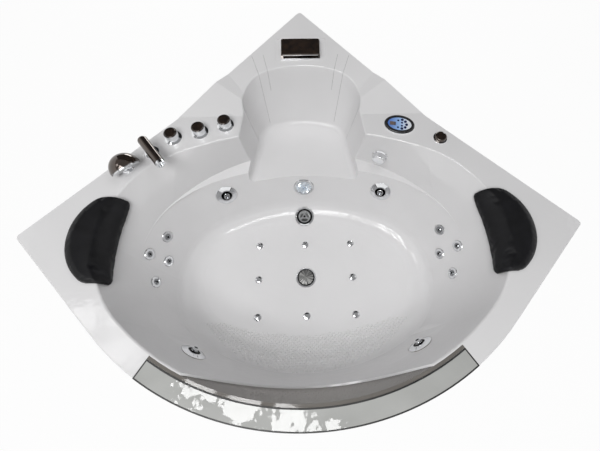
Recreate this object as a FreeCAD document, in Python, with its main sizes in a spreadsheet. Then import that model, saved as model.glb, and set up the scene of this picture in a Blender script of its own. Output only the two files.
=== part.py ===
import FreeCAD, Part
import math
import os
import re

import Sketcher
from FreeCAD import Placement, Rotation, Vector

# Driving dimensions in millimetres and degrees. A share is part of one wall side of the bath or of its depth.
SIZES = (
    ("tub_side", "1400"),
    ("front_straight_share", "0.331"),
    ("outer_corner_round", "14"),
    ("rim_height", "585"),
    ("shell_wall", "6"),
    ("lip_depth", "42"),
    ("rim_width", "78"),
    ("rim_roll", "7"),
    ("outer_roll", "5"),
    ("joint_gap", "0.3"),
    ("basin_half_share", "0.508"),
    ("basin_length_share", "0.6764"),
    ("basin_end_round_share", "0.2643"),
    ("basin_end_setback_share", "0.3643"),
    ("basin_depth", "400"),
    ("floor_half_share", "0.3743"),
    ("floor_front_share", "0.0486"),
    ("floor_back_share", "0.1207"),
    ("floor_end_round_share", "0.2143"),
    ("floor_end_setback_share", "0.3029"),
    ("floor_round", "105"),
    ("ledge_drop", "160"),
    ("ledge_fall", "4"),
    ("seat_drop", "212"),
    ("seat_front_half_share", "0.1707"),
    ("seat_side_half_share", "0.1429"),
    ("seat_corner_half_share", "0.0929"),
    ("seat_overlap_share", "0.095"),
    ("seat_side_share", "0.0621"),
    ("seat_corner_share", "0.1307"),
    ("seat_back_share", "0.145"),
    ("seat_top_rise", "100"),
    ("seat_top_front_half_share", "0.1964"),
    ("seat_top_side_half_share", "0.18"),
    ("seat_top_corner_half_share", "0.1071"),
    ("seat_top_side_share", "0.0764"),
    ("seat_top_corner_share", "0.215"),
    ("seat_top_back_share", "0.2321"),
    ("seat_corner_bulge_share", "0.2"),
    ("seat_round", "26"),
    ("fold_share", "0.3536"),
    ("fold_inner_share", "0.11"),
    ("meet_half_share", "0.12"),
    ("meet_run_share", "0.0107"),
    ("ridge_share", "0.4582"),
    ("ridge_rise", "38"),
    ("facet_share", "0.49"),
    ("apex_rise", "86"),
    ("under_margin", "40"),
    ("boss_depth", "9"),
    ("boss_border", "7"),
    ("seat_border", "3"),
    ("seat_sink", "0.8"),
    ("cut_reach", "60"),
    ("cap_half_angle", "33.3"),
    ("cap_thickness", "10"),
    ("cap_seal_width", "4"),
    ("pane_thickness", "10"),
    ("pane_margin", "26"),
    ("pane_band", "40"),
    ("scoop_half_share", "0.2679"),
    ("scoop_drop", "148"),
    ("apron_thickness", "5"),
    ("apron_floor_gap", "18"),
    ("apron_top_drop", "26"),
    ("apron_end_inset", "60"),
    ("apron_window_half_share", "0.27"),
    ("apron_window_drop", "58"),
    ("apron_window_height", "130"),
    ("apron_window_round", "50"),
    ("tube_side", "30"),
    ("tube_wall", "2"),
    ("rail_clearance", "48"),
    ("back_rail_half_share", "0.0786"),
    ("back_rail_end_share", "0.5964"),
    ("front_rail_half_share", "0.2143"),
    ("front_rail_end_share", "0.3"),
    ("corner_post_share", "0.6286"),
    ("prop_back_share", "0.1143"),
    ("prop_front_share", "0.1643"),
    ("foot_pad_radius", "27"),
    ("foot_pad_height", "14"),
    ("foot_stud_radius", "6"),
    ("foot_back_share", "0.0714"),
    ("jet_ring_radius", "45"),
    ("jet_ring_edge", "3"),
    ("jet_ring_height", "8"),
    ("jet_lip_radius", "20"),
    ("jet_lip_depth", "4"),
    ("jet_tail_radius", "31"),
    ("jet_ball_radius", "24"),
    ("jet_ball_sink", "10.5"),
    ("jet_tip_radius", "11"),
    ("jet_tip_reach", "20"),
    ("jet_bore_radius", "7"),
    ("jet_bore_depth", "26"),
    ("jet_flange_radius", "43"),
    ("jet_flange_height", "6"),
    ("jet_body_radius", "34"),
    ("jet_body_length", "50"),
    ("jet_spigot_radius", "13"),
    ("jet_spigot_set", "40"),
    ("jet_back_x_share", "0.2457"),
    ("jet_back_y_share", "0.186"),
    ("jet_back_drop_share", "0.595"),
    ("jet_front_x_share", "0.288"),
    ("jet_front_y_share", "-0.2745"),
    ("jet_front_drop_share", "0.455"),
    ("small_jet_radius", "23"),
    ("small_jet_height", "4"),
    ("small_jet_dome", "9"),
    ("small_jet_dome_rise", "3"),
    ("small_jet_tail", "12"),
    ("small_jet_length", "46"),
    ("small_jet_barb", "8"),
    ("small_jet_bore", "3.5"),
    ("small_jet_bore_depth", "12"),
    ("air_jet_radius", "16"),
    ("air_jet_edge", "2"),
    ("air_jet_rise", "7"),
    ("air_jet_tail", "8"),
    ("air_jet_length", "30"),
    ("air_jet_x_share", "0.152"),
    ("air_jet_back_share", "0.05"),
    ("air_jet_mid_share", "-0.0636"),
    ("air_jet_front_share", "-0.18"),
    ("air_pipe_radius", "12"),
    ("air_side_radius", "11"),
    ("air_feed_radius", "10"),
    ("air_riser_radius", "9"),
    ("air_pipe_wall", "2"),
    ("air_pipe_end", "17"),
    ("air_pipe_drop", "44"),
    ("drain_y_share", "-0.0607"),
    ("drain_radius", "45"),
    ("drain_height", "4"),
    ("drain_well_radius", "38"),
    ("drain_seat_radius", "26"),
    ("drain_seat_drop", "7"),
    ("drain_tail_radius", "31"),
    ("plug_radius", "33"),
    ("plug_thickness", "7"),
    ("plug_crown", "3"),
    ("plug_crown_share", "0.7"),
    ("plug_stem_radius", "4"),
    ("plug_stem_length", "38"),
    ("plug_lift_gap", "0.7"),
    ("waste_cup_radius", "40"),
    ("waste_cup_wall", "4"),
    ("waste_cup_depth", "84"),
    ("waste_pipe_radius", "20"),
    ("waste_tube_radius", "16"),
    ("waste_pipe_wall", "3"),
    ("waste_collar", "4"),
    ("waste_outlet_length", "45"),
    ("waste_run_drop", "79"),
    ("waste_bend", "45"),
    ("overflow_x_share", "0.2357"),
    ("overflow_y_share", "0.2657"),
    ("overflow_drop_share", "0.25"),
    ("overflow_rose_radius", "31"),
    ("overflow_rose_height", "5"),
    ("overflow_knob_radius", "27"),
    ("overflow_knob_height", "24"),
    ("overflow_knob_round", "5"),
    ("overflow_spindle_radius", "7"),
    ("overflow_spindle_reach", "20"),
    ("overflow_tail_radius", "24"),
    ("overflow_box_radius", "33"),
    ("overflow_box_depth", "46"),
    ("suction_y_share", "0.152"),
    ("suction_radius", "45"),
    ("suction_height", "9"),
    ("suction_rim", "29"),
    ("suction_groove", "37"),
    ("suction_floor", "2"),
    ("suction_hub", "11"),
    ("suction_spoke", "9"),
    ("suction_tail_radius", "30"),
    ("suction_tail_bore", "25"),
    ("suction_tail_length", "26"),
    ("suction_pipe_radius", "24"),
    ("suction_pipe_wall", "3"),
    ("suction_bend", "40"),
    ("suction_drop", "5"),
    ("light_drop_share", "0.68"),
    ("light_radius", "46"),
    ("light_height", "6"),
    ("light_opening", "36"),
    ("light_tail_radius", "39"),
    ("light_can_wall", "3"),
    ("light_can_length", "42"),
    ("light_lens_crown", "5"),
    ("light_lens_depth", "6"),
    ("light_lens_step_share", "0.85"),
    ("knob_one_x_share", "-0.2186"),
    ("knob_one_y_share", "0.3229"),
    ("knob_two_x_share", "-0.2886"),
    ("knob_two_y_share", "0.3"),
    ("knob_three_x_share", "-0.3607"),
    ("knob_three_y_share", "0.2821"),
    ("knob_flange_radius", "33"),
    ("knob_flange_edge", "2"),
    ("knob_flange_height", "5"),
    ("knob_radius", "25"),
    ("knob_height", "28"),
    ("knob_socket_radius", "11"),
    ("knob_socket_depth", "18"),
    ("knob_gap", "0.6"),
    ("knob_cap_radius", "22"),
    ("knob_cap_height", "5"),
    ("knob_cap_sink", "2"),
    ("knob_mark_width", "4"),
    ("knob_mark_depth", "1.5"),
    ("valve_shank_radius", "13"),
    ("valve_spindle_radius", "8"),
    ("valve_spindle_top", "21"),
    ("valve_body_radius", "22"),
    ("valve_body_length", "60"),
    ("valve_shank_length", "34"),
    ("valve_inlet_radius", "10"),
    ("valve_inlet_length", "26"),
    ("deck_nut_radius", "22"),
    ("deck_nut_height", "10"),
    ("spout_x_share", "-0.4121"),
    ("spout_y_share", "0.2357"),
    ("spout_turn", "-51.9"),
    ("spout_flange_radius", "27"),
    ("spout_flange_height", "5"),
    ("spout_post_radius", "15"),
    ("spout_post_height", "48"),
    ("spout_bar_radius", "18"),
    ("spout_bar_back", "22"),
    ("spout_bar_front", "110"),
    ("spout_bar_round", "12"),
    ("spout_outlet_radius", "16.5"),
    ("spout_outlet_length", "13"),
    ("spout_outlet_bore", "11"),
    ("spout_outlet_depth", "9"),
    ("shower_x_share", "-0.4726"),
    ("shower_y_share", "0.1921"),
    ("shower_turn", "-54"),
    ("shower_tilt", "31"),
    ("shower_radius", "55"),
    ("shower_centre_rise", "35"),
    ("shower_face_radius", "50"),
    ("shower_face_thickness", "6"),
    ("shower_face_sink", "3"),
    ("shower_nozzle_radius", "2.5"),
    ("shower_nozzle_ring", "26"),
    ("shower_face_ahead", "1"),
    ("shower_centre_set", "34"),
    ("shower_stem_radius", "12"),
    ("shower_stem_drop", "70"),
    ("shower_socket_flange", "30"),
    ("shower_socket_height", "7"),
    ("shower_socket_radius", "17"),
    ("shower_socket_drop", "76"),
    ("shower_fit_gap", "0.5"),
    ("waterfall_y_share", "0.5707"),
    ("waterfall_width", "164"),
    ("waterfall_depth", "80"),
    ("waterfall_base_height", "7"),
    ("waterfall_hood_height", "18"),
    ("waterfall_hood_round", "8"),
    ("waterfall_mouth_height", "7"),
    ("waterfall_mouth_border", "8"),
    ("waterfall_mouth_depth", "46"),
    ("waterfall_lip_reach", "7"),
    ("waterfall_shank_length", "44"),
    ("waterfall_pad_border", "26"),
    ("waterfall_pad_sink", "2"),
    ("panel_x_share", "0.2793"),
    ("panel_y_share", "0.3129"),
    ("panel_turn", "-10"),
    ("panel_half_length", "61"),
    ("panel_half_width", "45"),
    ("panel_height", "9"),
    ("panel_rim", "13"),
    ("panel_floor", "3"),
    ("panel_can_radius", "36"),
    ("panel_can_length", "34"),
    ("panel_face_thickness", "3"),
    ("display_length", "24"),
    ("display_width", "18"),
    ("display_thickness", "3"),
    ("display_set", "27"),
    ("key_radius", "5.5"),
    ("key_height", "4"),
    ("key_edge_share", "0.8"),
    ("key_travel_gap", "1.4"),
    ("key_ring", "22"),
    ("key_ring_set", "6"),
    ("key_spread", "40"),
    ("air_knob_x_share", "0.3893"),
    ("air_knob_y_share", "0.265"),
    ("air_knob_flange_radius", "27"),
    ("air_knob_radius", "23"),
    ("air_knob_height", "13"),
    ("air_knob_round", "5"),
    ("air_knob_notch", "9"),
    ("air_knob_notch_depth", "6"),
    ("air_knob_notch_turn", "45"),
    ("air_valve_length", "56"),
    ("pillow_y_share", "-0.01"),
    ("pillow_half_share", "0.111"),
    ("pillow_deck_reach", "92"),
    ("pillow_end_reach", "34"),
    ("pillow_thickness", "34"),
    ("pillow_end_thickness", "20"),
    ("pillow_hang", "66"),
    ("pillow_end_hang", "36"),
    ("pillow_inset", "7"),
    ("pillow_gap", "0.5"),
    ("pillow_wall_gap", "2.4"),
    ("pillow_tip_share", "0.55"),
    ("pillow_tip_bulge_share", "0.6"),
    ("pillow_face_bulge_share", "0.8"),
    ("pillow_brow_share", "0.15"),
    ("pillow_brow_rise_share", "0.62"),
    ("pillow_dish_share", "0.35"),
    ("pillow_ridge_share", "0.6"),
    ("pillow_heel_share", "0.2"),
    ("pipe_radius", "20"),
    ("pipe_wall", "3"),
    ("pipe_rise", "222"),
    ("pipe_bend", "60"),
    ("pipe_side_share", "0.4371"),
    ("pipe_side_front_share", "-0.09"),
    ("pipe_side_back_share", "0.05"),
    ("pipe_corner_front_x_share", "0.4"),
    ("pipe_corner_front_y_share", "-0.205"),
    ("pipe_corner_back_x_share", "0.375"),
    ("pipe_corner_back_y_share", "0.165"),
    ("pipe_header_half_share", "0.15"),
    ("pipe_header_y_share", "0.3143"),
    ("pump_y_share", "0.3786"),
    ("pump_volute_radius", "70"),
    ("pump_volute_length", "92"),
    ("pump_inlet_radius", "30"),
    ("pump_inlet_length", "22"),
    ("pump_outlet_radius", "18"),
    ("pump_motor_radius", "62"),
    ("pump_motor_length", "190"),
    ("pump_cowl_radius", "66"),
    ("pump_cowl_length", "40"),
    ("pump_base_thickness", "6"),
    ("pump_foot_width", "60"),
    ("blower_x_share", "0.5357"),
    ("blower_radius", "76"),
    ("blower_length", "150"),
    ("blower_dome", "30"),
    ("blower_port_radius", "18"),
    ("blower_port_length", "26"),
    ("box_x_share", "0.5357"),
    ("box_length", "190"),
    ("box_width", "120"),
    ("box_height", "140"),
    ("box_round", "10"),
    ("light_y_share", "0.2207"),
    ("small_jet_a_x_share", "0.411"),
    ("small_jet_a_y_share", "0.049"),
    ("small_jet_a_drop_share", "0.58"),
    ("small_jet_b_x_share", "0.4414"),
    ("small_jet_b_y_share", "-0.012"),
    ("small_jet_b_drop_share", "0.4825"),
    ("small_jet_c_x_share", "0.4114"),
    ("small_jet_c_y_share", "-0.017"),
    ("small_jet_c_drop_share", "0.70"),
    ("small_jet_d_x_share", "0.4257"),
    ("small_jet_d_y_share", "-0.085"),
    ("small_jet_d_drop_share", "0.59"),
)

doc = FreeCAD.newDocument("CornerBath")
sheet = doc.addObject("Spreadsheet::Sheet", "Sizes")
for row, (alias, text) in enumerate(SIZES, 1):
    sheet.set("A%d" % row, alias)
    sheet.set("B%d" % row, text)
    sheet.setAlias("B%d" % row, alias)
doc.recompute()
NODES = []


def s(alias):
    return float(sheet.get(alias))


# Plan of the bath: x across, y towards the wall corner, heights from the rim. SHIFT moves it to its origin.
ROOT2 = math.sqrt(2.0)
TUB = s("tub_side")
HALF = TUB / ROOT2
STRAIGHT = TUB * s("front_straight_share")
FRONT_R = TUB - STRAIGHT
ARC_Y = (FRONT_R - STRAIGHT) / ROOT2
FRONT_Y = ARC_Y - FRONT_R
CORNER_CUT = (ROOT2 - 1.0) * s("outer_corner_round")
SHIFT = Vector(0, -(HALF - CORNER_CUT + FRONT_Y) / 2.0, s("rim_height"))
WALL = s("shell_wall")
DEPTH = s("basin_depth")
GAP = s("joint_gap")
UP = Vector(0, 0, 1)


def at(x, y, z):
    return Vector(x, y, z) + SHIFT


def spot(prefix, z=0.0):
    return at(s(prefix + "_x_share") * TUB, s(prefix + "_y_share") * TUB, z)


def flip(p):
    return Vector(-p.x, p.y, p.z)


def lerp(a, b, t):
    return a + (b - a) * t


def line(a, b):
    return Part.LineSegment(a, b).toShape()


def arc(a, m, b):
    return Part.Arc(a, m, b).toShape()


def middle(edge):
    return edge.valueAt((edge.FirstParameter + edge.LastParameter) / 2.0)


def facing(point, axis, hint=Vector(1, 0, 0)):
    return Placement(point, Rotation(hint, Vector(0, 0, 0), axis, "ZXY"))


def keep(obj, label):
    obj.Label = label
    NODES.append(obj)
    return obj


def feature(name, shape):
    obj = doc.addObject("Part::Feature", name)
    obj.Shape = shape
    return obj


def loft(name, wires):
    obj = doc.addObject("Part::Loft", name)
    obj.Sections = [feature("%s_section_%d" % (name, i), w) for i, w in enumerate(wires, 1)]
    obj.Solid = True
    obj.Ruled = True
    doc.recompute()
    return obj


def boolean(kind, name, *parts):
    obj = doc.addObject(kind, name)
    if kind == "Part::Cut":
        obj.Base, obj.Tool = parts
    else:
        obj.Shapes = list(parts)
    doc.recompute()
    return obj


def cut(name, base, tool):
    return boolean("Part::Cut", name, base, tool)


def fuse(name, *parts):
    return boolean("Part::MultiFuse", name, *parts)


def common(name, *parts):
    return boolean("Part::MultiCommon", name, *parts)


def fillet(name, base, radius, pick):
    # A roll that does not close at its full radius is made a little tighter.
    obj = doc.addObject("Part::Fillet", name)
    obj.Base = base
    picked = [i for i, e in enumerate(base.Shape.Edges, 1) if pick(e)]
    for share in (1.0, 0.9, 0.8, 0.6, 0.4):
        obj.Edges = [(i, radius * share, radius * share) for i in picked]
        doc.recompute()
        if not obj.Shape.isNull() and obj.Shape.isValid() and len(obj.Shape.Solids) == 1:
            break
    return obj


def bound(text):
    return re.sub(r"[a-z]\w*", lambda m: "Sizes." + m.group(0), text)


def outline(body, role, points):
    plane = [f for f in body.Origin.OriginFeatures if f.Role == role][0]
    sketch = body.newObject("Sketcher::SketchObject", body.Name + "_outline")
    sketch.AttachmentSupport = [(plane, "")]
    sketch.MapMode = "FlatFace"
    count = len(points)
    start = [Vector(math.cos(2.0 * math.pi * i / count), math.sin(2.0 * math.pi * i / count), 0)
             for i in range(count)]
    for i in range(count):
        sketch.addGeometry(Part.LineSegment(start[i], start[(i + 1) % count]), False)
    for i in range(count):
        sketch.addConstraint(Sketcher.Constraint("Coincident", i, 2, (i + 1) % count, 1))
    for i, (across, up) in enumerate(points):
        for kind, text, value in (("DistanceX", across, start[i].x), ("DistanceY", up, start[i].y)):
            index = sketch.addConstraint(Sketcher.Constraint(kind, -1, 1, i, 1, value))
            sketch.setExpression("Constraints[%d]" % index, bound(text))
    return sketch


def turned(name, points):
    body = doc.addObject("PartDesign::Body", name)
    sketch = outline(body, "XZ_Plane", points)
    turn = body.newObject("PartDesign::Revolution", name + "_turn")
    turn.Profile = sketch
    turn.ReferenceAxis = (sketch, ["V_Axis"])
    turn.Angle = 360.0
    body.Tip = turn
    doc.recompute()
    return body


def slab(name, points, height, role="XY_Plane", midplane=False):
    body = doc.addObject("PartDesign::Body", name)
    sketch = outline(body, role, points)
    pad = body.newObject("PartDesign::Pad", name + "_pad")
    pad.Profile = sketch
    pad.setExpression("Length", bound(height))
    pad.Midplane = midplane
    body.Tip = pad
    doc.recompute()
    return body


def soften(body, radius, pick):
    tip = body.Tip
    names = ["Edge%d" % i for i, e in enumerate(tip.Shape.Edges, 1) if pick(e)]
    obj = body.newObject("PartDesign::Fillet", body.Name + "_round_%d" % len(body.Group))
    obj.Base = (tip, names)
    obj.setExpression("Radius", bound(radius))
    body.Tip = obj
    doc.recompute()


def circle_at(radius, height):
    def pick(edge):
        m = edge.BoundBox
        return (abs(m.ZMax - height) < GAP and abs(m.ZMin - height) < GAP
                and abs(m.XLength / 2.0 - radius) < GAP and len(edge.Vertexes) == 1)
    return pick


def local(obj):
    shape = obj.Shape.copy()
    shape.Placement = Placement()
    return shape


def placed(obj, placement):
    shape = local(obj)
    shape.Placement = placement
    return shape


def group(label, source, placements):
    obj = feature(label, Part.makeCompound([placed(source, p) for p in placements]))
    return keep(obj, label)


def rod(point, axis, radius, length, back=0.0):
    return Part.makeCylinder(radius, length + back, point - axis * back, axis)


# Tub shell: one vacuum-formed skin. Sections of the basin are ovals of six tangent arcs.
def basin_section(t, grow=0.0):
    front = FRONT_Y + s("rim_width")
    half = lerp(s("basin_half_share"), s("floor_half_share"), t) * TUB
    back = front + lerp(s("basin_length_share"), s("basin_length_share") - s("floor_back_share"), t) * TUB
    end = front + lerp(s("basin_end_setback_share"), s("floor_end_setback_share"), t) * TUB
    radius = lerp(s("basin_end_round_share"), s("floor_end_round_share"), t) * TUB
    front = front + s("floor_front_share") * TUB * t
    return [half + grow, front - grow, back + grow, end, radius + grow]


def oval(section, z):
    half, front, back, end, radius = section
    across = half - radius
    ahead = end - front
    behind = back - end
    front_r = (radius ** 2 - across ** 2 - ahead ** 2) / (2.0 * (radius - ahead))
    back_r = (radius ** 2 - across ** 2 - behind ** 2) / (2.0 * (radius - behind))
    centre = Vector(across, end, 0)
    low = (centre - Vector(0, front + front_r, 0)).normalize()
    high = (centre - Vector(0, back - back_r, 0)).normalize()
    right = Vector(1, 0, 0)
    points = [
        centre + low * radius,
        centre + (low + right).normalize() * radius,
        centre + right * radius,
        centre + (high + right).normalize() * radius,
        centre + high * radius,
    ]
    lift = SHIFT + UP * z
    a, b, c, d, e = [p + lift for p in points]
    return Part.Wire([
        arc(flip(a), Vector(0, front, 0) + lift, a),
        arc(a, b, c),
        arc(c, d, e),
        arc(e, Vector(0, back, 0) + lift, flip(e)),
        arc(flip(e), flip(d), flip(c)),
        arc(flip(c), flip(b), flip(a)),
    ])


def basin(name, grow, drop):
    share = s("ledge_drop") / DEPTH
    fall = (s("ledge_drop") + s("ledge_fall")) / DEPTH
    upper = basin_section(share, grow)
    upper[2] = basin_section(0.0, grow)[2]
    return loft(name, [
        oval(basin_section(0.0, grow), 0.0),
        oval(upper, -s("ledge_drop") - drop),
        oval(basin_section(fall, grow), -s("ledge_drop") - s("ledge_fall") - drop),
        oval(basin_section(1.0, grow), -DEPTH - drop),
    ])


def level(height):
    def pick(edge):
        return abs(edge.BoundBox.ZMax - height) < GAP and abs(edge.BoundBox.ZMin - height) < GAP
    return pick


RIM = SHIFT.z
hollow_plain = basin("basin_hollow", 0.0, 0.0)
hollow = fillet("basin_dish", hollow_plain, s("floor_round"), level(RIM - DEPTH))
skin_plain = basin("basin_skin", WALL, WALL)
skin = fillet("basin_skin_dish", skin_plain, s("floor_round") + WALL, level(RIM - DEPTH - WALL))


def outline_wire(inset, z):
    round_off = max(s("outer_corner_round") - inset, 0.0)
    reach = HALF - inset * ROOT2
    tangent_x = (FRONT_R - inset) / ROOT2
    tangent_y = ARC_Y - tangent_x
    step = round_off / ROOT2
    tip = round_off * (ROOT2 - 1.0)
    edges = [
        arc(at(-tangent_x, tangent_y, z), at(0, FRONT_Y + inset, z), at(tangent_x, tangent_y, z)),
        line(at(tangent_x, tangent_y, z), at(reach - step, -step, z)),
        line(at(reach - step, step, z), at(step, reach - step, z)),
        line(at(-step, reach - step, z), at(-reach + step, step, z)),
        line(at(-reach + step, -step, z), at(-tangent_x, tangent_y, z)),
    ]
    if step > 0.0:
        edges.insert(2, arc(at(reach - step, -step, z), at(reach - tip, 0, z), at(reach - step, step, z)))
        edges.insert(4, arc(at(step, reach - step, z), at(0, reach - tip, z), at(-step, reach - step, z)))
        edges.insert(6, arc(at(-reach + step, step, z), at(-reach + tip, 0, z), at(-reach + step, -step, z)))
    return Part.Wire(edges)


def prism(name, wire, height):
    obj = doc.addObject("Part::Extrusion", name)
    obj.Base = feature(name + "_wire", wire)
    obj.Dir = UP
    obj.LengthFwd = height
    obj.Solid = True
    doc.recompute()
    return obj


def corner_rise(name, drop):
    fold = s("fold_share") * TUB
    ridge = s("ridge_share") * TUB
    facet = s("facet_share") * TUB
    meet_y = fold + s("meet_run_share") * TUB
    meet_z = s("ridge_rise") * (meet_y - fold) / (ridge - fold)
    slope = (s("apex_rise") - meet_z) / (HALF - meet_y)
    lift = -drop
    low = -s("lip_depth") / 2.0
    fold_out = at(-(HALF - fold), fold, lift)
    fold_in = at(-s("fold_inner_share") * TUB, fold, lift)
    meet = at(-s("meet_half_share") * TUB, meet_y, meet_z + lift)
    top_ridge = at(-(HALF - ridge), ridge, s("ridge_rise") + lift)
    top_facet = at(-(HALF - facet), facet, meet_z + slope * (facet - meet_y) + lift)
    apex = at(0, HALF, s("apex_rise") + lift)

    def under(p):
        return Vector(p.x, p.y, SHIFT.z + low)

    def face(*points):
        return Part.Face(Part.makePolygon(list(points) + [points[0]]))

    ring = [fold_out, fold_in, meet, flip(meet), flip(fold_in), flip(fold_out), flip(top_ridge),
            flip(top_facet), apex, top_facet, top_ridge]
    faces = [face(*[under(p) for p in ring])]
    for a, b in zip(ring, ring[1:] + ring[:1]):
        faces.append(face(under(a), under(b), b, a))
    faces.append(face(fold_out, fold_in, meet, top_ridge))
    faces.append(face(top_ridge, meet, top_facet))
    faces.append(face(top_facet, meet, flip(meet), flip(top_facet), apex))
    faces.append(face(flip(fold_out), flip(fold_in), flip(meet), flip(top_ridge)))
    faces.append(face(flip(top_ridge), flip(meet), flip(top_facet)))
    solid = Part.Solid(Part.Shell(faces))
    if solid.Volume < 0:
        solid.reverse()
    return feature(name, solid)


CORNER_SLOPE = math.degrees(math.atan(
    (s("apex_rise") - s("ridge_rise") * s("meet_run_share") / (s("ridge_share") - s("fold_share")))
    / (HALF - (s("fold_share") + s("meet_run_share")) * TUB)))


def corner_height(y):
    return s("apex_rise") - (HALF - y) * math.tan(math.radians(CORNER_SLOPE))


def seat_wire(prefix, z, grow):
    back = basin_section(0.0)[2]
    front = at(s(prefix + "_front_half_share") * TUB + grow, back - s("seat_overlap_share") * TUB, z)
    side = at(s(prefix + "_side_half_share") * TUB + grow, back + s(prefix + "_side_share") * TUB, z)
    turn = grow / ROOT2
    corner = at(s(prefix + "_corner_half_share") * TUB + turn,
                back + s(prefix + "_corner_share") * TUB + turn, z)
    rear = at(0, back + s(prefix + "_back_share") * TUB + grow, z)
    chord = corner - side
    bend = side + chord * 0.5 + Vector(chord.y, -chord.x, 0) * s("seat_corner_bulge_share")
    return Part.Wire([
        line(flip(front), front),
        line(front, side),
        arc(side, bend, corner),
        arc(corner, rear, flip(corner)),
        arc(flip(corner), flip(bend), flip(side)),
        line(flip(side), flip(front)),
    ])


def niche(name, grow):
    low = seat_wire("seat", -s("seat_drop") - grow, grow)
    high = seat_wire("seat_top", s("seat_top_rise"), grow)
    return loft(name, [low, high])


def seat_edges(height):
    def pick(edge):
        straight_front = edge.BoundBox.YLength < GAP and middle(edge).y < SHIFT.y + basin_section(0.0)[2]
        return level(height)(edge) and not straight_front
    return pick


niche_plain = niche("niche_hollow", 0.0)
niche_hollow = fillet("niche_hollow_round", niche_plain, s("seat_round"), seat_edges(RIM - s("seat_drop")))
niche_skin_plain = niche("niche_skin", WALL)
niche_skin = fillet("niche_skin_round", niche_skin_plain, s("seat_round") + WALL,
                    seat_edges(RIM - s("seat_drop") - WALL))

block_low = -DEPTH - s("under_margin")
block_flat = prism("deck_block", outline_wire(0.0, block_low), -block_low)
tall = prism("outline_tall", outline_wire(0.0, block_low), s("apex_rise") * 2.0 - block_low)
rise = common("rise_trimmed", corner_rise("corner_rise", 0.0), tall)
block = fuse("block", block_flat, rise)
block.Refine = True
doc.recompute()


def outer_edges(edge):
    m = middle(edge) - SHIFT
    flat = abs(m.z) < GAP and edge.BoundBox.ZLength < GAP
    return flat and m.y < s("fold_share") * TUB / 2.0


rolled_block = fillet("block_rolled", block, s("outer_roll"), outer_edges)
opened = cut("block_opened", rolled_block, hollow)


def rim_edges(edge):
    m = middle(edge) - SHIFT
    inside = Part.Vertex(middle(edge)).distToShape(hollow.Shape)[0] < GAP
    return abs(m.z) < GAP and edge.BoundBox.ZLength < GAP and inside


niched = cut("block_niched", opened, niche_hollow)
NICHE_FACES = niche_hollow.Shape.Faces


def niche_edges(edge):
    # The edges of the niche opening along the deck and up the corner rise.
    if edge.Curve.TypeId == "Part::GeomLine" or (middle(edge) - SHIFT).z < -3.0 * GAP:
        return False
    ends = [edge.valueAt(lerp(edge.FirstParameter, edge.LastParameter, t)) for t in (0.1, 0.5, 0.9)]
    for face in NICHE_FACES:
        if all(Part.Vertex(p).distToShape(face)[0] < GAP / 10.0 for p in ends):
            return True
    return False


niche_rolled = fillet("niche_rolled", niched, s("rim_roll"), niche_edges)
form = fillet("tub_form", niche_rolled, s("rim_roll"), rim_edges)


# The deck with its turned-down lip, stepped down at the front where the glass cap lies.
def sector(inner, outer, half_angle, low, high):
    turn = math.radians(half_angle)

    def polar(radius, angle):
        return at(radius * math.sin(angle), ARC_Y - radius * math.cos(angle), low)

    wire = Part.Wire([
        arc(polar(outer, -turn), polar(outer, 0.0), polar(outer, turn)),
        line(polar(outer, turn), polar(inner, turn)),
        arc(polar(inner, turn), polar(inner, 0.0), polar(inner, -turn)),
        line(polar(inner, -turn), polar(outer, -turn)),
    ])
    return Part.Face(wire).extrude(Vector(0, 0, high - low))


def angle_of(length):
    return math.degrees(length / FRONT_R)


RIM_R = FRONT_R - s("rim_width")
PANE_IN = WALL + GAP
PANE_OUT = PANE_IN + s("pane_thickness")
CAP_ANGLE = s("cap_half_angle")
CAP = s("cap_thickness")
lip = s("lip_depth")
lip_prism = prism("lip_block", outline_wire(0.0, -lip), lip)
under_flat = prism("under_block", outline_wire(WALL, -2.0 * lip), 2.0 * lip - WALL)
under_tall = prism("under_tall", outline_wire(WALL, -2.0 * lip), 2.0 * lip + s("apex_rise"))
under_rise = common("under_rise", corner_rise("corner_rise_under", WALL), under_tall)
deck = cut("deck", fuse("deck_solid", lip_prism, rise), fuse("deck_under", under_flat, under_rise))
shelf = feature("cap_shelf", sector(RIM_R + WALL, FRONT_R - WALL / 2.0, CAP_ANGLE + angle_of(WALL),
                                    -CAP - GAP - WALL, -WALL / 2.0))
recess = feature("cap_recess", sector(RIM_R + PANE_OUT, FRONT_R + WALL, CAP_ANGLE, -CAP - GAP, WALL))
stepped = cut("deck_stepped", fuse("deck_shelf", deck, shelf), recess)
basin_part = common("basin_part", fuse("skins", skin, niche_skin), block)
pane_inner = basin("pane_inner", PANE_IN, WALL)
pane_outer = basin("pane_outer", PANE_OUT, WALL)
slot_outer = basin("slot_outer", PANE_OUT + GAP, WALL)


# Seats, bosses and bores of the wall fittings, found on the basin surface itself.
def on_wall(x, y, z):
    near = at(x, y, z)
    probe = Part.Vertex(near)
    face = min(hollow.Shape.Faces, key=lambda f: probe.distToShape(f)[0])
    point = probe.distToShape(face)[1][0][1]
    normal = face.normalAt(*face.Surface.parameter(point))
    if normal.dot(at(0, 0, -DEPTH / 3.0) - point) < 0:
        normal = normal * -1.0
    return point - normal * s("seat_sink"), normal


BOSSES = []
CUTS = []


def seat_fitting(point, normal, face_radius, bore_radius):
    BOSSES.append(rod(point, normal * -1.0, face_radius + s("boss_border"), WALL + s("boss_depth")))
    CUTS.append(rod(point, normal, face_radius + s("seat_border"), s("cut_reach")))
    CUTS.append(rod(point, normal, bore_radius + GAP, s("cut_reach"), s("cut_reach")))


BACK_OF_WALL = WALL + s("boss_depth")


def wall_spot(prefix, side=1.0):
    return on_wall(side * s(prefix + "_x_share") * TUB, s(prefix + "_y_share") * TUB,
                   -s(prefix + "_drop_share") * DEPTH)


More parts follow.
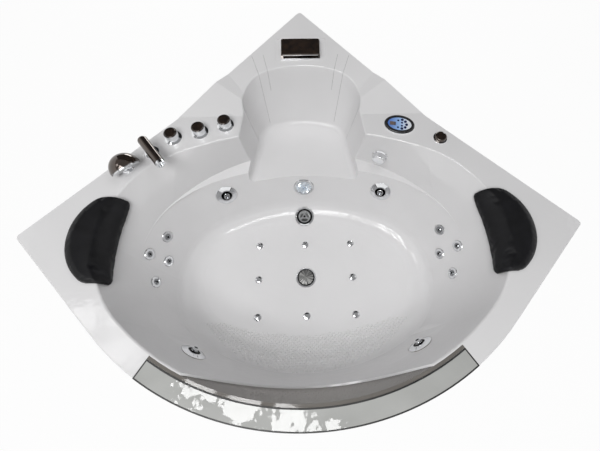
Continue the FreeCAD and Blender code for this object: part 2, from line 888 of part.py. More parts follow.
BIG_JETS = (("back_left", "jet_back", -1.0), ("back_right", "jet_back", 1.0),
            ("front_left", "jet_front", -1.0), ("front_right", "jet_front", 1.0))
big_jets = [(name,) + wall_spot(prefix, side) for name, prefix, side in BIG_JETS]
for name, point, normal in big_jets:
    seat_fitting(point, normal, s("jet_ring_radius"), s("jet_tail_radius"))

SMALL_JETS = ("small_jet_a", "small_jet_b", "small_jet_c", "small_jet_d")
small_jets = [wall_spot(prefix, side) for side in (-1.0, 1.0) for prefix in SMALL_JETS]
for point, normal in small_jets:
    seat_fitting(point, normal, s("small_jet_radius"), s("small_jet_tail"))

overflow_point, overflow_normal = wall_spot("overflow")
overflow_normal = Vector(overflow_normal.x, overflow_normal.y, 0).normalize()
seat_fitting(overflow_point, overflow_normal, s("overflow_rose_radius"), s("overflow_tail_radius"))
light_point, light_normal = on_wall(0, s("light_y_share") * TUB, -s("light_drop_share") * DEPTH)
seat_fitting(light_point, light_normal, s("light_radius"), s("light_tail_radius"))
suction_point, suction_normal = on_wall(0, s("suction_y_share") * TUB, -DEPTH)
seat_fitting(suction_point, suction_normal, s("suction_radius"), s("suction_tail_radius"))
drain_point = at(0, s("drain_y_share") * TUB, -DEPTH - s("seat_sink"))
seat_fitting(drain_point, UP, s("drain_radius"), s("drain_tail_radius"))
air_x = s("air_jet_x_share") * TUB
AIR_ROWS = [s("air_jet_%s_share" % row) * TUB for row in ("back", "mid", "front")]
AIR_GRID = [(x, y) for y in AIR_ROWS for x in (-air_x, 0.0, air_x) if not (x == 0.0 and y == AIR_ROWS[1])]
air_points = [at(x, y, -DEPTH - s("seat_sink")) for x, y in AIR_GRID]
for point in air_points:
    CUTS.append(rod(point, UP, s("air_jet_tail") + GAP, s("cut_reach"), s("cut_reach")))
    CUTS.append(rod(point, UP, s("air_jet_radius") + s("seat_border"), s("cut_reach")))

# Holes through the deck for knobs, spout, hand shower, panel, air control and waterfall.
KNOBS = ("knob_one", "knob_two", "knob_three")
for prefix in KNOBS + ("spout", "air_knob"):
    CUTS.append(rod(spot(prefix), UP, s("valve_shank_radius") + GAP, s("cut_reach"), s("cut_reach")))
CUTS.append(rod(spot("shower"), UP, s("shower_socket_radius") + GAP, s("cut_reach"), s("cut_reach")))
CUTS.append(rod(spot("panel"), UP, s("panel_can_radius") + GAP, s("cut_reach"), s("cut_reach")))
fall_y = s("waterfall_y_share") * TUB
FALL = Placement(at(0, fall_y, corner_height(fall_y)), Rotation(Vector(1, 0, 0), CORNER_SLOPE))
fall_up = FALL.Rotation.multVec(UP)
CUTS.append(rod(FALL.Base, fall_up, s("valve_shank_radius") + GAP, s("cut_reach"), s("cut_reach")))
pad_w = s("waterfall_width") + 2.0 * s("waterfall_pad_border")
pad_d = s("waterfall_depth") + s("waterfall_pad_border")
pad = Part.makeBox(pad_w, pad_d, s("cut_reach"), Vector(-pad_w / 2.0, -pad_d / 2.0, -s("waterfall_pad_sink")))
pad.Placement = FALL
CUTS.append(pad)

scoop_half = s("scoop_half_share") * TUB
scoop_r = (scoop_half ** 2 + s("scoop_drop") ** 2) / (2.0 * s("scoop_drop"))
scoop_axis = at(0, FRONT_Y - WALL, scoop_r - s("scoop_drop"))
scoop_run = RIM_R - math.sqrt(RIM_R ** 2 - scoop_half ** 2)
scoop_length = s("rim_width") * 2.0 + scoop_run
scoop_rod = feature("scoop_rod", Part.makeCylinder(scoop_r, scoop_length, scoop_axis, Vector(0, 1, 0)))
scoop = common("scoop", scoop_rod, pane_inner)
pane_layer = cut("pane_layer", pane_outer, pane_inner)
slot_layer = cut("slot_layer", slot_outer, pane_inner)
pane_sector = sector(RIM_R - s("rim_width"), FRONT_R, CAP_ANGLE - angle_of(2.0 * GAP), -DEPTH, 0.0)
slot_sector = sector(RIM_R - s("rim_width"), FRONT_R, CAP_ANGLE, -lip, WALL)
pane_reach = Part.makeCylinder(scoop_r + s("pane_margin"), scoop_length, scoop_axis, Vector(0, 1, 0))
pane_band = sector(RIM_R - s("rim_width"), FRONT_R, CAP_ANGLE, -s("pane_band"), 0.0)
window = common("window_layer", pane_layer, feature("pane_sector", pane_sector),
                feature("pane_extent", pane_reach.fuse(pane_band)))
slot = common("pane_slot", slot_layer, feature("slot_sector", slot_sector))

raw = fuse("tub_raw", stepped, basin_part, feature("wall_bosses", Part.makeCompound(BOSSES)))
formed = common("tub_formed", raw, form)
scooped = cut("tub_scooped", formed, scoop)
glazed = cut("tub_glazed", scooped, slot)
tub = cut("tub_shell", glazed, feature("tub_holes", Part.makeCompound(CUTS)))
keep(tub, "tub_shell")
keep(window, "window_pane")

# Glass cap plate on the front rim and the dark seal that frames it.
cap_in = RIM_R + PANE_OUT + 2.0 * GAP
seal_w = s("cap_seal_width")
seal_outer = sector(cap_in, FRONT_R, CAP_ANGLE - angle_of(GAP), -CAP, 0.0)
seal_inner = sector(cap_in + seal_w, FRONT_R - seal_w, CAP_ANGLE - angle_of(GAP + seal_w), -2.0 * CAP, CAP)
cap_angle = CAP_ANGLE - angle_of(2.0 * GAP + seal_w)
keep(feature("rim_cap_plate", sector(cap_in + seal_w + GAP, FRONT_R - seal_w - GAP, cap_angle, -CAP, 0.0)),
     "rim_cap_plate")
keep(cut("cap_seal", feature("seal_outer", seal_outer), feature("seal_inner", seal_inner)), "cap_seal")

# Front apron: one bent sheet behind the lip, with a window before the glass pane.
apron_low = s("apron_floor_gap") - RIM
apron_high = -s("apron_top_drop")
apron_tall = apron_high - apron_low
sheet_out = prism("apron_out", outline_wire(WALL + GAP, apron_low), apron_tall)
sheet_in = prism("apron_in", outline_wire(WALL + GAP + s("apron_thickness"), apron_low), apron_tall)
apron_ring = cut("apron_ring", sheet_out, sheet_in)
front_half = Part.makeBox(2.0 * TUB, TUB, 2.0 * RIM, at(-TUB, -s("apron_end_inset") - TUB, -1.5 * RIM))
apron_front = common("apron_front", apron_ring, feature("apron_extent", front_half))
view_half = s("apron_window_half_share") * TUB
view_low = at(-view_half, FRONT_Y - s("rim_width"), -s("apron_window_drop") - s("apron_window_height"))
view = Part.makeBox(2.0 * view_half, 4.0 * s("rim_width"), s("apron_window_height"), view_low)
view = view.makeFillet(s("apron_window_round"), [
    e for e in view.Edges if e.BoundBox.YLength > s("rim_width")])
keep(cut("front_apron", apron_front, feature("apron_window", view)), "front_apron")

# Base frame of square steel tubes, its props under the basin floor, and the levelling feet.
SIDE = s("tube_side")
RAIL_LOW = s("rail_clearance") - RIM
RAIL_TOP = RAIL_LOW + SIDE


def tube(low, high):
    size = high - low
    outer = Part.makeBox(size.x, size.y, size.z, low)
    axis = max(range(3), key=lambda i: size[i])
    trim = [s("tube_wall")] * 3
    trim[axis] = -s("tube_wall")
    inset = Vector(*trim)
    bore = size - inset * 2.0
    return outer.cut(Part.makeBox(bore.x, bore.y, bore.z, low + inset))


def rail(x0, y0, x1, y1):
    return tube(at(x0, y0, RAIL_LOW), at(x1, y1, RAIL_TOP))


def post(x, y, low, high):
    return tube(at(x - SIDE / 2.0, y - SIDE / 2.0, low), at(x + SIDE / 2.0, y + SIDE / 2.0, high))


post_x = s("corner_post_share") * TUB
spine_half = post_x + SIDE / 2.0
back_x = s("back_rail_half_share") * TUB
back_end = s("back_rail_end_share") * TUB
cross_y = back_end + GAP + SIDE / 2.0
front_x = s("front_rail_half_share") * TUB
front_end = s("front_rail_end_share") * TUB
rails = [rail(-spine_half, -SIDE / 2.0, spine_half, SIDE / 2.0)]
rails.append(rail(-back_x - SIDE / 2.0, cross_y - SIDE / 2.0, back_x + SIDE / 2.0, cross_y + SIDE / 2.0))
for side in (-1.0, 1.0):
    low_x = side * back_x - SIDE / 2.0
    rails.append(rail(low_x, SIDE / 2.0 + GAP, low_x + SIDE, back_end))
    low_x = side * front_x - SIDE / 2.0
    rails.append(rail(low_x, -front_end, low_x + SIDE, -SIDE / 2.0 - GAP))
deck_under_z = -WALL - GAP
floor_under_z = -DEPTH - WALL - GAP
back_post_top = corner_height(cross_y - SIDE / 2.0) - WALL / math.cos(math.radians(CORNER_SLOPE)) - GAP
posts = [post(0.0, cross_y, RAIL_TOP + GAP, back_post_top)]
for side in (-1.0, 1.0):
    posts.append(post(side * post_x, 0.0, RAIL_TOP + GAP, deck_under_z))
    posts.append(post(side * back_x, s("prop_back_share") * TUB, RAIL_TOP + GAP, floor_under_z))
    posts.append(post(side * front_x, -s("prop_front_share") * TUB, RAIL_TOP + GAP, floor_under_z))
keep(feature("frame_tubes", Part.makeCompound(rails + posts)), "frame_tubes")
foot = turned("foot_form", (
    ("0", "0"),
    ("foot_pad_radius", "0"),
    ("foot_pad_radius", "foot_pad_height / 2"),
    ("foot_stud_radius * 2", "foot_pad_height"),
    ("foot_stud_radius", "foot_pad_height"),
    ("foot_stud_radius", "rail_clearance - joint_gap"),
    ("0", "rail_clearance - joint_gap"),
))
FEET = []
for side in (-1.0, 1.0):
    FEET.append(Placement(at(side * post_x, 0, -RIM), Rotation()))
    FEET.append(Placement(at(side * s("foot_back_share") * TUB, cross_y, -RIM), Rotation()))
    FEET.append(Placement(at(side * front_x, -front_end + SIDE / 2.0, -RIM), Rotation()))
group("levelling_feet", foot, FEET)

# Large jets: chrome ring, swivelling eyeball, body behind the wall with a spigot down to the water pipe.
BACK = "shell_wall + boss_depth"
ring = turned("jet_ring_form", (
    ("jet_lip_radius", "jet_ring_height"),
    ("jet_lip_radius + jet_lip_depth * 2", "jet_ring_height"),
    ("jet_ring_radius", "jet_ring_edge"),
    ("jet_ring_radius", "0"),
    ("jet_tail_radius", "0"),
    ("jet_tail_radius", "-(%s)" % BACK),
    ("jet_ball_radius + joint_gap", "-(%s)" % BACK),
    ("jet_ball_radius + joint_gap", "jet_ring_height - jet_lip_depth"),
    ("jet_lip_radius", "jet_ring_height - jet_lip_depth"),
))
JETS = [facing(point, normal) for name, point, normal in big_jets]
group("jet_rings", ring, JETS)
ball = doc.addObject("Part::Sphere", "jet_ball")
ball.setExpression("Radius", bound("jet_ball_radius"))
ball.setExpression("Placement.Base.z", bound("-jet_ball_sink"))
tip = doc.addObject("Part::Cylinder", "jet_tip")
tip.setExpression("Radius", bound("jet_tip_radius"))
tip.setExpression("Height", bound("jet_tip_reach + jet_ball_sink"))
tip.setExpression("Placement.Base.z", bound("-jet_ball_sink"))
bore = doc.addObject("Part::Cylinder", "jet_bore")
bore.setExpression("Radius", bound("jet_bore_radius"))
bore.setExpression("Height", bound("jet_bore_depth"))
bore.setExpression("Placement.Base.z", bound("jet_tip_reach - jet_bore_depth"))
nozzle = cut("jet_nozzle_form", fuse("jet_ball_tip", ball, tip), bore)
for (name, point, normal), placement in zip(big_jets, JETS):
    keep(feature("jet_nozzle_" + name, placed(nozzle, placement)), "jet_nozzle_" + name)
jet_cup = turned("jet_cup_form", (
    ("jet_ball_radius + jet_ring_edge", "-(%s) - joint_gap" % BACK),
    ("jet_flange_radius", "-(%s) - joint_gap" % BACK),
    ("jet_flange_radius", "-(%s) - joint_gap - jet_flange_height" % BACK),
    ("jet_body_radius", "-(%s) - joint_gap - jet_flange_height" % BACK),
    ("jet_body_radius", "-(%s) - joint_gap - jet_body_length" % BACK),
    ("0", "-(%s) - joint_gap - jet_body_length" % BACK),
    ("0", "-(%s) - joint_gap - jet_body_length + jet_ring_edge" % BACK),
    ("jet_ball_radius + jet_ring_edge", "-(%s) - joint_gap - jet_body_length + jet_ring_edge" % BACK),
))
jet_bodies = []
SPIGOTS = []
for (name, point, normal), placement in zip(big_jets, JETS):
    centre = point - normal * (BACK_OF_WALL + s("jet_spigot_set"))
    end = centre - UP * (s("jet_body_radius") + s("jet_spigot_radius"))
    void = rod(point, normal * -1.0, s("jet_ball_radius") + s("jet_ring_edge"),
               BACK_OF_WALL + GAP + s("jet_body_length") - s("jet_ring_edge"))
    stub = Part.makeCylinder(s("jet_spigot_radius"), (centre - end).Length, end, UP)
    jet_bodies.append(placed(jet_cup, placement).fuse(stub.cut(void)))
    SPIGOTS.append(end)
keep(feature("jet_bodies", Part.makeCompound(jet_bodies)), "jet_bodies")

# Small back jets and floor air jets.
small = turned("small_jet_form", (
    ("0", "small_jet_height - small_jet_bore_depth"),
    ("small_jet_bore", "small_jet_height - small_jet_bore_depth"),
    ("small_jet_bore", "small_jet_height + small_jet_dome_rise"),
    ("small_jet_dome / 2", "small_jet_height + small_jet_dome_rise"),
    ("small_jet_dome", "small_jet_height"),
    ("small_jet_radius - small_jet_height / 2", "small_jet_height"),
    ("small_jet_radius", "small_jet_height / 2"),
    ("small_jet_radius", "0"),
    ("small_jet_tail", "0"),
    ("small_jet_tail", "-small_jet_length"),
    ("small_jet_barb", "-small_jet_length"),
    ("small_jet_barb", "-small_jet_length - small_jet_barb * 2"),
    ("0", "-small_jet_length - small_jet_barb * 2"),
))
group("back_jets", small, [facing(point, normal) for point, normal in small_jets])
air = turned("air_jet_form", (
    ("0", "air_jet_rise"),
    ("air_jet_radius / 2", "air_jet_rise - air_jet_edge / 2"),
    ("air_jet_radius - air_jet_edge", "air_jet_edge * 2"),
    ("air_jet_radius", "air_jet_edge"),
    ("air_jet_radius", "0"),
    ("air_jet_tail", "0"),
    ("air_jet_tail", "-air_jet_length"),
    ("0", "-air_jet_length"),
))
group("floor_air_jets", air, [Placement(p, Rotation()) for p in air_points])


# Pipes: straight runs joined by tangent bends.
def run_wire(points, bend):
    edges = []
    start = points[0]
    for before, here, after in zip(points, points[1:], points[2:]):
        a = (before - here).normalize()
        b = (after - here).normalize()
        half = a.getAngle(b) / 2.0
        reach = bend / math.tan(half)
        one = here + a * reach
        two = here + b * reach
        inward = (a + b).normalize()
        centre = here + inward * (bend / math.sin(half))
        edges.append(line(start, one))
        edges.append(arc(one, centre - inward * bend, two))
        start = two
    edges.append(line(start, points[-1]))
    return Part.Wire(edges)


def swept(points, bend, radius):
    ring = Part.Wire([Part.makeCircle(radius, points[0], points[1] - points[0])])
    return run_wire(points, bend).makePipeShell([ring], True, True)


def hollow_run(label, points, bend, radius, wall, outer_extra=(), inner_extra=()):
    outside = swept(points, bend, radius)
    if outer_extra:
        outside = outside.fuse(list(outer_extra))
    inside = swept(points, bend, radius - wall)
    if inner_extra:
        inside = inside.fuse(list(inner_extra))
    return keep(feature(label, outside.cut(inside)), label)


def share_point(prefix, z, side):
    return at(side * s(prefix + "_x_share") * TUB, s(prefix + "_y_share") * TUB, z)


pipe_z = s("pipe_rise") - RIM
blower_z = RAIL_TOP + GAP + s("blower_radius")
jet_tail = s("small_jet_length") + 2.0 * s("small_jet_barb")
tail_low = min((point - normal * jet_tail).z for point, normal in small_jets) - s("small_jet_tail") - SHIFT.z
side_z = (tail_low + blower_z + s("air_feed_radius")) / 2.0
back_left, back_right = [Vector(p.x, p.y, s("pipe_rise")) for p in SPIGOTS[:2]]
front_left, front_right = [Vector(p.x, p.y, SHIFT.z + side_z) for p in SPIGOTS[2:]]


def half_run(side, front, back):
    return [
        front,
        share_point("pipe_corner_front", side_z, side),
        at(side * s("pipe_side_share") * TUB, s("pipe_side_front_share") * TUB, side_z),
        at(side * s("pipe_side_share") * TUB, s("pipe_side_back_share") * TUB, side_z),
        share_point("pipe_corner_back", side_z, side),
        back,
        at(side * s("pipe_header_half_share") * TUB, s("pipe_header_y_share") * TUB, pipe_z),
    ]


water_points = half_run(-1.0, front_left, back_left) + half_run(1.0, front_right, back_right)[::-1]
risers = []
riser_bores = []
for end, foot_point in zip(SPIGOTS, (back_left, back_right, front_left, front_right)):
    height = end.z - GAP - foot_point.z
    risers.append(Part.makeCylinder(s("jet_spigot_radius"), height, foot_point, UP))
    riser_bores.append(rod(foot_point, UP, s("jet_spigot_radius") - s("pipe_wall"), height + GAP))
hollow_run("water_pipe", water_points, s("pipe_bend"), s("pipe_radius"), s("pipe_wall"), risers, riser_bores)

air_z = -DEPTH - s("air_pipe_drop")


def air_network(wall, extra):
    # Two cross runs with closed ends, two side runs between them and a riser under each jet.
    reach = air_x + s("air_pipe_end") - wall
    parts = []
    for y in (AIR_ROWS[0], AIR_ROWS[2]):
        parts.append(rod(at(-reach, y, air_z), Vector(1, 0, 0), s("air_pipe_radius") - wall, 2.0 * reach))
    for x in (-air_x, air_x):
        parts.append(rod(at(x, AIR_ROWS[2], air_z), Vector(0, 1, 0), s("air_side_radius") - wall,
                         AIR_ROWS[0] - AIR_ROWS[2]))
    for p in air_points:
        foot_point = Vector(p.x, p.y, SHIFT.z + air_z)
        height = p.z - s("air_jet_length") - GAP - foot_point.z + extra
        parts.append(rod(foot_point, UP, s("air_riser_radius") - wall, height))
    return parts


blower_x = s("blower_x_share") * TUB
port_x = blower_x - s("blower_length") / 2.0 - s("blower_port_length")
air_points_run = [at(air_x, 0, air_z), at((air_x + port_x) / 2.0, 0, air_z),
                  at(port_x - s("pipe_bend"), 0, blower_z), at(port_x - GAP, 0, blower_z)]
air_out = swept(air_points_run, s("pipe_bend"), s("air_feed_radius")).fuse(air_network(0.0, 0.0))
air_in = swept(air_points_run, s("pipe_bend"), s("air_feed_radius") - s("air_pipe_wall"))
air_in = air_in.fuse(air_network(s("air_pipe_wall"), GAP))
keep(feature("air_pipe", air_out.cut(air_in)), "air_pipe")

# Air blower and control box on the spine rail.
blower = turned("air_blower", (
    ("0", "-blower_length / 2 - blower_port_length"),
    ("blower_port_radius", "-blower_length / 2 - blower_port_length"),
    ("blower_port_radius", "-blower_length / 2"),
    ("blower_radius - blower_dome / 2", "-blower_length / 2"),
    ("blower_radius", "-blower_length / 2 + blower_dome / 2"),
    ("blower_radius", "blower_length / 2 - blower_dome"),
    ("blower_radius - blower_dome", "blower_length / 2"),
    ("0", "blower_length / 2"),
))
blower.Placement = facing(at(blower_x, 0, blower_z), Vector(1, 0, 0), UP)
keep(blower, "air_blower")
box = slab("control_box", (
    ("-box_length / 2", "-box_width / 2"),
    ("box_length / 2", "-box_width / 2"),
    ("box_length / 2", "box_width / 2"),
    ("-box_length / 2", "box_width / 2"),
), "box_height")
soften(box, "box_round", lambda e: e.BoundBox.ZLength > GAP or e.BoundBox.ZMin > GAP)
box.Placement = Placement(at(-s("box_x_share") * TUB, 0, RAIL_TOP + GAP), Rotation())
keep(box, "control_box")

# Pump under the seat: wet end in front, motor behind with its plate across the back rails.
pump_y = s("pump_y_share") * TUB
plate_top = RAIL_TOP + GAP + s("pump_base_thickness")
pump_z = plate_top + GAP + s("pump_volute_radius")
volute_front = at(0, pump_y - s("pump_volute_length") / 2.0, pump_z)
AFT = Vector(0, 1, 0)
volute = rod(volute_front, AFT, s("pump_volute_radius"), s("pump_volute_length"))
volute = volute.makeFillet(s("box_round"), [e for e in volute.Edges if len(e.Vertexes) == 1])
inlet = rod(volute_front, AFT * -1.0, s("pump_inlet_radius"), s("pump_inlet_length"), s("box_round"))
header_y = s("pipe_header_y_share") * TUB
outlet_start = at(-s("pump_volute_radius") / 2.0, header_y + s("pipe_radius") + GAP, pipe_z)
outlet_length = volute_front.y - outlet_start.y + s("pump_volute_length") / 2.0
outlet = rod(outlet_start, AFT, s("pump_outlet_radius"), outlet_length)
keep(feature("pump_wet_end", volute.fuse([inlet, outlet])), "pump_wet_end")
motor_front = volute_front + AFT * (s("pump_volute_length") + GAP)
motor = rod(motor_front, AFT, s("pump_motor_radius"), s("pump_motor_length"))
cowl = rod(motor_front + AFT * s("pump_motor_length"), AFT, s("pump_cowl_radius"), s("pump_cowl_length"))
cowl = cowl.makeFillet(s("box_round"), [e for e in cowl.Edges if len(e.Vertexes) == 1])
foot_w = s("pump_foot_width")
leg = Part.makeBox(foot_w, s("pump_motor_length") / 2.0, pump_z - plate_top,
                   Vector(-foot_w / 2.0, motor_front.y + s("pump_motor_length") / 4.0, SHIFT.z + plate_top))
plate_w = 2.0 * back_x + SIDE
plate = Part.makeBox(plate_w, s("pump_motor_length"), s("pump_base_thickness"),
                     Vector(-plate_w / 2.0, motor_front.y, SHIFT.z + RAIL_TOP + GAP))
keep(feature("pump_motor", motor.fuse([cowl, leg, plate])), "pump_motor")

# Suction cover on the floor slope, and its pipe to the pump.
cover = turned("suction_cover_form", (
    ("0", "suction_height"),
    ("suction_rim", "suction_height"),
    ("suction_rim", "suction_floor"),
    ("suction_groove", "suction_floor"),
    ("suction_groove", "suction_height * 2 / 3"),
    ("suction_radius", "suction_height / 3"),
    ("suction_radius", "0"),
    ("suction_tail_radius", "0"),
    ("suction_tail_radius", "-suction_tail_length"),
    ("suction_tail_bore", "-suction_tail_length"),
    ("suction_tail_bore", "suction_height / 3"),
    ("0", "suction_height / 3"),
))
open_ring = Part.makeCylinder(s("suction_tail_bore") - GAP, s("cut_reach")).cut(
    Part.makeCylinder(s("suction_hub"), s("cut_reach")))
for turn in range(3):
    bar = Part.makeBox(s("suction_tail_bore") * 2.0, s("suction_spoke"), s("cut_reach"),
                       Vector(0, -s("suction_spoke") / 2.0, 0))
    bar.rotate(Vector(0, 0, 0), UP, 90.0 + 120.0 * turn)
    open_ring = open_ring.cut(bar)
cover_cut = local(cover).cut(open_ring)
cover_cut.Placement = facing(suction_point, suction_normal)
keep(feature("suction_cover", cover_cut), "suction_cover")
tail_end = suction_point - suction_normal * (s("suction_tail_length") + GAP)
low_point = tail_end - suction_normal * (s("suction_bend") + s("suction_drop"))
inlet_face = volute_front - AFT * (s("pump_inlet_length") + GAP)
turn_y = (low_point.y + inlet_face.y) / 2.0
suction_points = [tail_end, low_point, Vector(0, turn_y, low_point.z),
                  Vector(0, inlet_face.y - s("suction_bend"), inlet_face.z), inlet_face]
hollow_run("suction_pipe", suction_points, s("suction_bend"),
           s("suction_pipe_radius"), s("suction_pipe_wall"))

# Underwater lamp below the seat: housing with its can, and a domed lens.
lamp = turned("light_housing", (
    ("light_opening + joint_gap", "light_height"),
    ("light_radius - light_height / 2", "light_height"),
    ("light_radius", "light_height / 3"),
    ("light_radius", "0"),
    ("light_tail_radius", "0"),
    ("light_tail_radius", "-light_can_length"),
    ("0", "-light_can_length"),
    ("0", "-light_can_length + light_can_wall"),
    ("light_tail_radius - light_can_wall * 2", "-light_can_length + light_can_wall"),
    ("light_tail_radius - light_can_wall * 2", "-light_lens_depth"),
    ("light_opening + joint_gap", "-light_lens_depth"),
))
lamp.Placement = facing(light_point, light_normal)
keep(lamp, "light_housing")
lens = turned("light_lens", (
    ("0", "light_height + light_lens_crown"),
    ("light_opening / 2", "light_height + light_lens_crown * 3 / 4"),
    ("light_opening * light_lens_step_share", "light_height + light_lens_crown / 4"),
    ("light_opening", "light_height - light_lens_crown / 5"),
    ("light_opening", "-light_lens_depth + joint_gap"),
    ("0", "-light_lens_depth + joint_gap"),
))
lens.Placement = facing(light_point, light_normal)
keep(lens, "light_lens")

# Drain: flange with a sunk well, lifting plug on a stem, waste cup below.
flange = turned("drain_flange", (
    ("drain_well_radius", "drain_height"),
    ("drain_radius - drain_height", "drain_height"),
    ("drain_radius", "drain_height / 3"),
    ("drain_radius", "0"),
    ("drain_tail_radius", "0"),
    ("drain_tail_radius", "-(%s)" % BACK),
    ("drain_seat_radius", "-(%s)" % BACK),
    ("drain_seat_radius", "-drain_seat_drop / 2"),
    ("drain_tail_radius", "drain_height / 2"),
))
flange.Placement = Placement(drain_point, Rotation())
keep(flange, "drain_flange")
plug = turned("drain_plug", (
    ("0", "drain_height / 2 + plug_lift_gap + plug_thickness + plug_crown"),
    ("plug_radius / 2", "drain_height / 2 + plug_lift_gap + plug_thickness + plug_crown * plug_crown_share"),
    ("plug_radius", "drain_height / 2 + plug_lift_gap + plug_thickness"),
    ("plug_radius", "drain_height / 2 + plug_lift_gap"),
    ("drain_seat_radius - joint_gap * 2", "drain_height / 2 + plug_lift_gap"),
    ("drain_seat_radius - joint_gap * 2", "-drain_seat_drop / 3"),
    ("plug_stem_radius", "-drain_seat_drop / 3"),
    ("plug_stem_radius", "-plug_stem_length"),
    ("0", "-plug_stem_length"),
))
plug.Placement = Placement(drain_point, Rotation())
keep(plug, "drain_plug")
cup = turned("waste_cup_form", (
    ("waste_cup_radius - waste_cup_wall", "-(%s) - joint_gap" % BACK),
    ("waste_cup_radius", "-(%s) - joint_gap" % BACK),
    ("waste_cup_radius", "-(%s) - joint_gap - waste_cup_depth" % BACK),
    ("0", "-(%s) - joint_gap - waste_cup_depth" % BACK),
    ("0", "-(%s) - joint_gap - waste_cup_depth + waste_cup_wall" % BACK),
    ("waste_cup_radius - waste_cup_wall", "-(%s) - joint_gap - waste_cup_depth + waste_cup_wall" % BACK),
))
waste_z = drain_point.z - s("waste_run_drop")
box_centre = overflow_point - overflow_normal * (BACK_OF_WALL + s("overflow_box_depth") / 2.0)
run_end = Vector(drain_point.x, drain_point.y, waste_z)
run_corner = Vector(box_centre.x, box_centre.y, waste_z)
toward = (run_corner - run_end).normalize()
riser_top = box_centre - UP * (s("overflow_box_radius") + s("waste_pipe_wall") + GAP)
outfall_dir = toward * -1.0
waste_points = [riser_top, run_corner, run_end]
waste_bore = s("waste_pipe_radius") - s("waste_pipe_wall")
cup_bore = s("waste_cup_radius") - s("waste_cup_wall")
cup_void = rod(run_end, UP, cup_bore, s("waste_run_drop") - BACK_OF_WALL, waste_bore)
waste_out = swept(waste_points, s("waste_bend"), s("waste_tube_radius"))
waste_in = swept(waste_points, s("waste_bend"), s("waste_tube_radius") - s("waste_pipe_wall"))
collar_end = s("waste_cup_radius") + s("waste_collar")
collar = rod(run_end, outfall_dir, s("waste_pipe_radius") + s("waste_collar"), collar_end)
outlet = rod(run_end, outfall_dir, s("waste_pipe_radius"), collar_end + s("waste_outlet_length"))
outlet_bore = rod(run_end, outfall_dir, waste_bore, collar_end + s("waste_outlet_length") + GAP)
waste = placed(cup, Placement(drain_point, Rotation())).fuse([waste_out, collar, outlet])
waste = waste.cut(cup_void).cut(waste_in).cut(outlet_bore)
keep(feature("waste_pipe", waste), "waste_pipe")

# Overflow: rose on the wall with its box behind, and the turning knob that lifts the plug.
rose = turned("overflow_rose_form", (
    ("overflow_spindle_radius", "overflow_spindle_reach"),
    ("overflow_spindle_radius", "overflow_rose_height"),
    ("overflow_rose_radius - overflow_rose_height", "overflow_rose_height"),
    ("overflow_rose_radius", "0"),
    ("overflow_tail_radius", "0"),
    ("overflow_tail_radius", "-(%s)" % BACK),
    ("0", "-(%s)" % BACK),
    ("0", "overflow_spindle_reach"),
))
rose.Placement = facing(overflow_point, overflow_normal, UP)
keep(rose, "overflow_rose")
back_box = rod(overflow_point - overflow_normal * (BACK_OF_WALL + GAP), overflow_normal * -1.0,
               s("overflow_box_radius"), s("overflow_box_depth"))
spigot = Part.makeCylinder(s("waste_tube_radius"), s("overflow_box_radius") + s("waste_pipe_wall"),
                           Vector(box_centre.x, box_centre.y, riser_top.z + GAP), UP)
keep(feature("overflow_box", back_box.fuse(spigot)), "overflow_box")
over_knob = turned("overflow_knob", (
    ("overflow_spindle_radius + knob_gap", "overflow_rose_height + knob_gap"),
    ("overflow_knob_radius", "overflow_rose_height + knob_gap"),
    ("overflow_knob_radius", "overflow_rose_height + knob_gap + overflow_knob_height"),
    ("0", "overflow_rose_height + knob_gap + overflow_knob_height"),
    ("0", "overflow_spindle_reach + knob_gap"),
    ("overflow_spindle_radius + knob_gap", "overflow_spindle_reach + knob_gap"),
))
knob_top = s("overflow_rose_height") + s("knob_gap") + s("overflow_knob_height")
soften(over_knob, "overflow_knob_round", circle_at(s("overflow_knob_radius"), knob_top))
over_knob.Placement = facing(overflow_point, overflow_normal, UP)
keep(over_knob, "overflow_knob")

# Three knobs on the deck: flange, valve body with spindle, turning barrel and dark cap with a pointer mark.
knob_flange = turned("knob_flange_form", (
    ("valve_shank_radius + joint_gap", "0"),
    ("knob_flange_radius", "0"),
    ("knob_flange_radius", "knob_flange_edge"),
    ("knob_radius + joint_gap", "knob_flange_height"),
    ("valve_shank_radius + joint_gap", "knob_flange_height"),
))
KNOB_SPOTS = [Placement(spot(prefix), Rotation()) for prefix in KNOBS]
group("knob_flanges", knob_flange, KNOB_SPOTS)
valve = turned("valve_form", (
    ("0", "valve_spindle_top"),
    ("valve_spindle_radius", "valve_spindle_top"),
    ("valve_spindle_radius", "knob_flange_height"),
    ("valve_shank_radius", "knob_flange_height"),
    ("valve_shank_radius", "-valve_shank_length"),
    ("valve_body_radius", "-valve_shank_length"),
    ("valve_body_radius", "-valve_shank_length - valve_body_length"),
    ("valve_inlet_radius", "-valve_shank_length - valve_body_length"),
    ("valve_inlet_radius", "-valve_shank_length - valve_body_length - valve_inlet_length"),
    ("0", "-valve_shank_length - valve_body_length - valve_inlet_length"),
))
group("valve_bodies", valve, KNOB_SPOTS)
barrel = turned("knob_form", (
    ("knob_socket_radius", "knob_flange_height + knob_gap"),
    ("knob_radius", "knob_flange_height + knob_gap"),
    ("knob_radius", "knob_flange_height + knob_gap + knob_height"),
    ("knob_cap_radius + joint_gap", "knob_flange_height + knob_gap + knob_height"),
    ("knob_cap_radius + joint_gap", "knob_flange_height + knob_gap + knob_height - knob_cap_sink"),
    ("0", "knob_flange_height + knob_gap + knob_height - knob_cap_sink"),
    ("0", "knob_flange_height + knob_gap + knob_socket_depth"),
    ("knob_socket_radius", "knob_flange_height + knob_gap + knob_socket_depth"),
))
cap_low = s("knob_flange_height") + s("knob_gap") + s("knob_height") - s("knob_cap_sink")
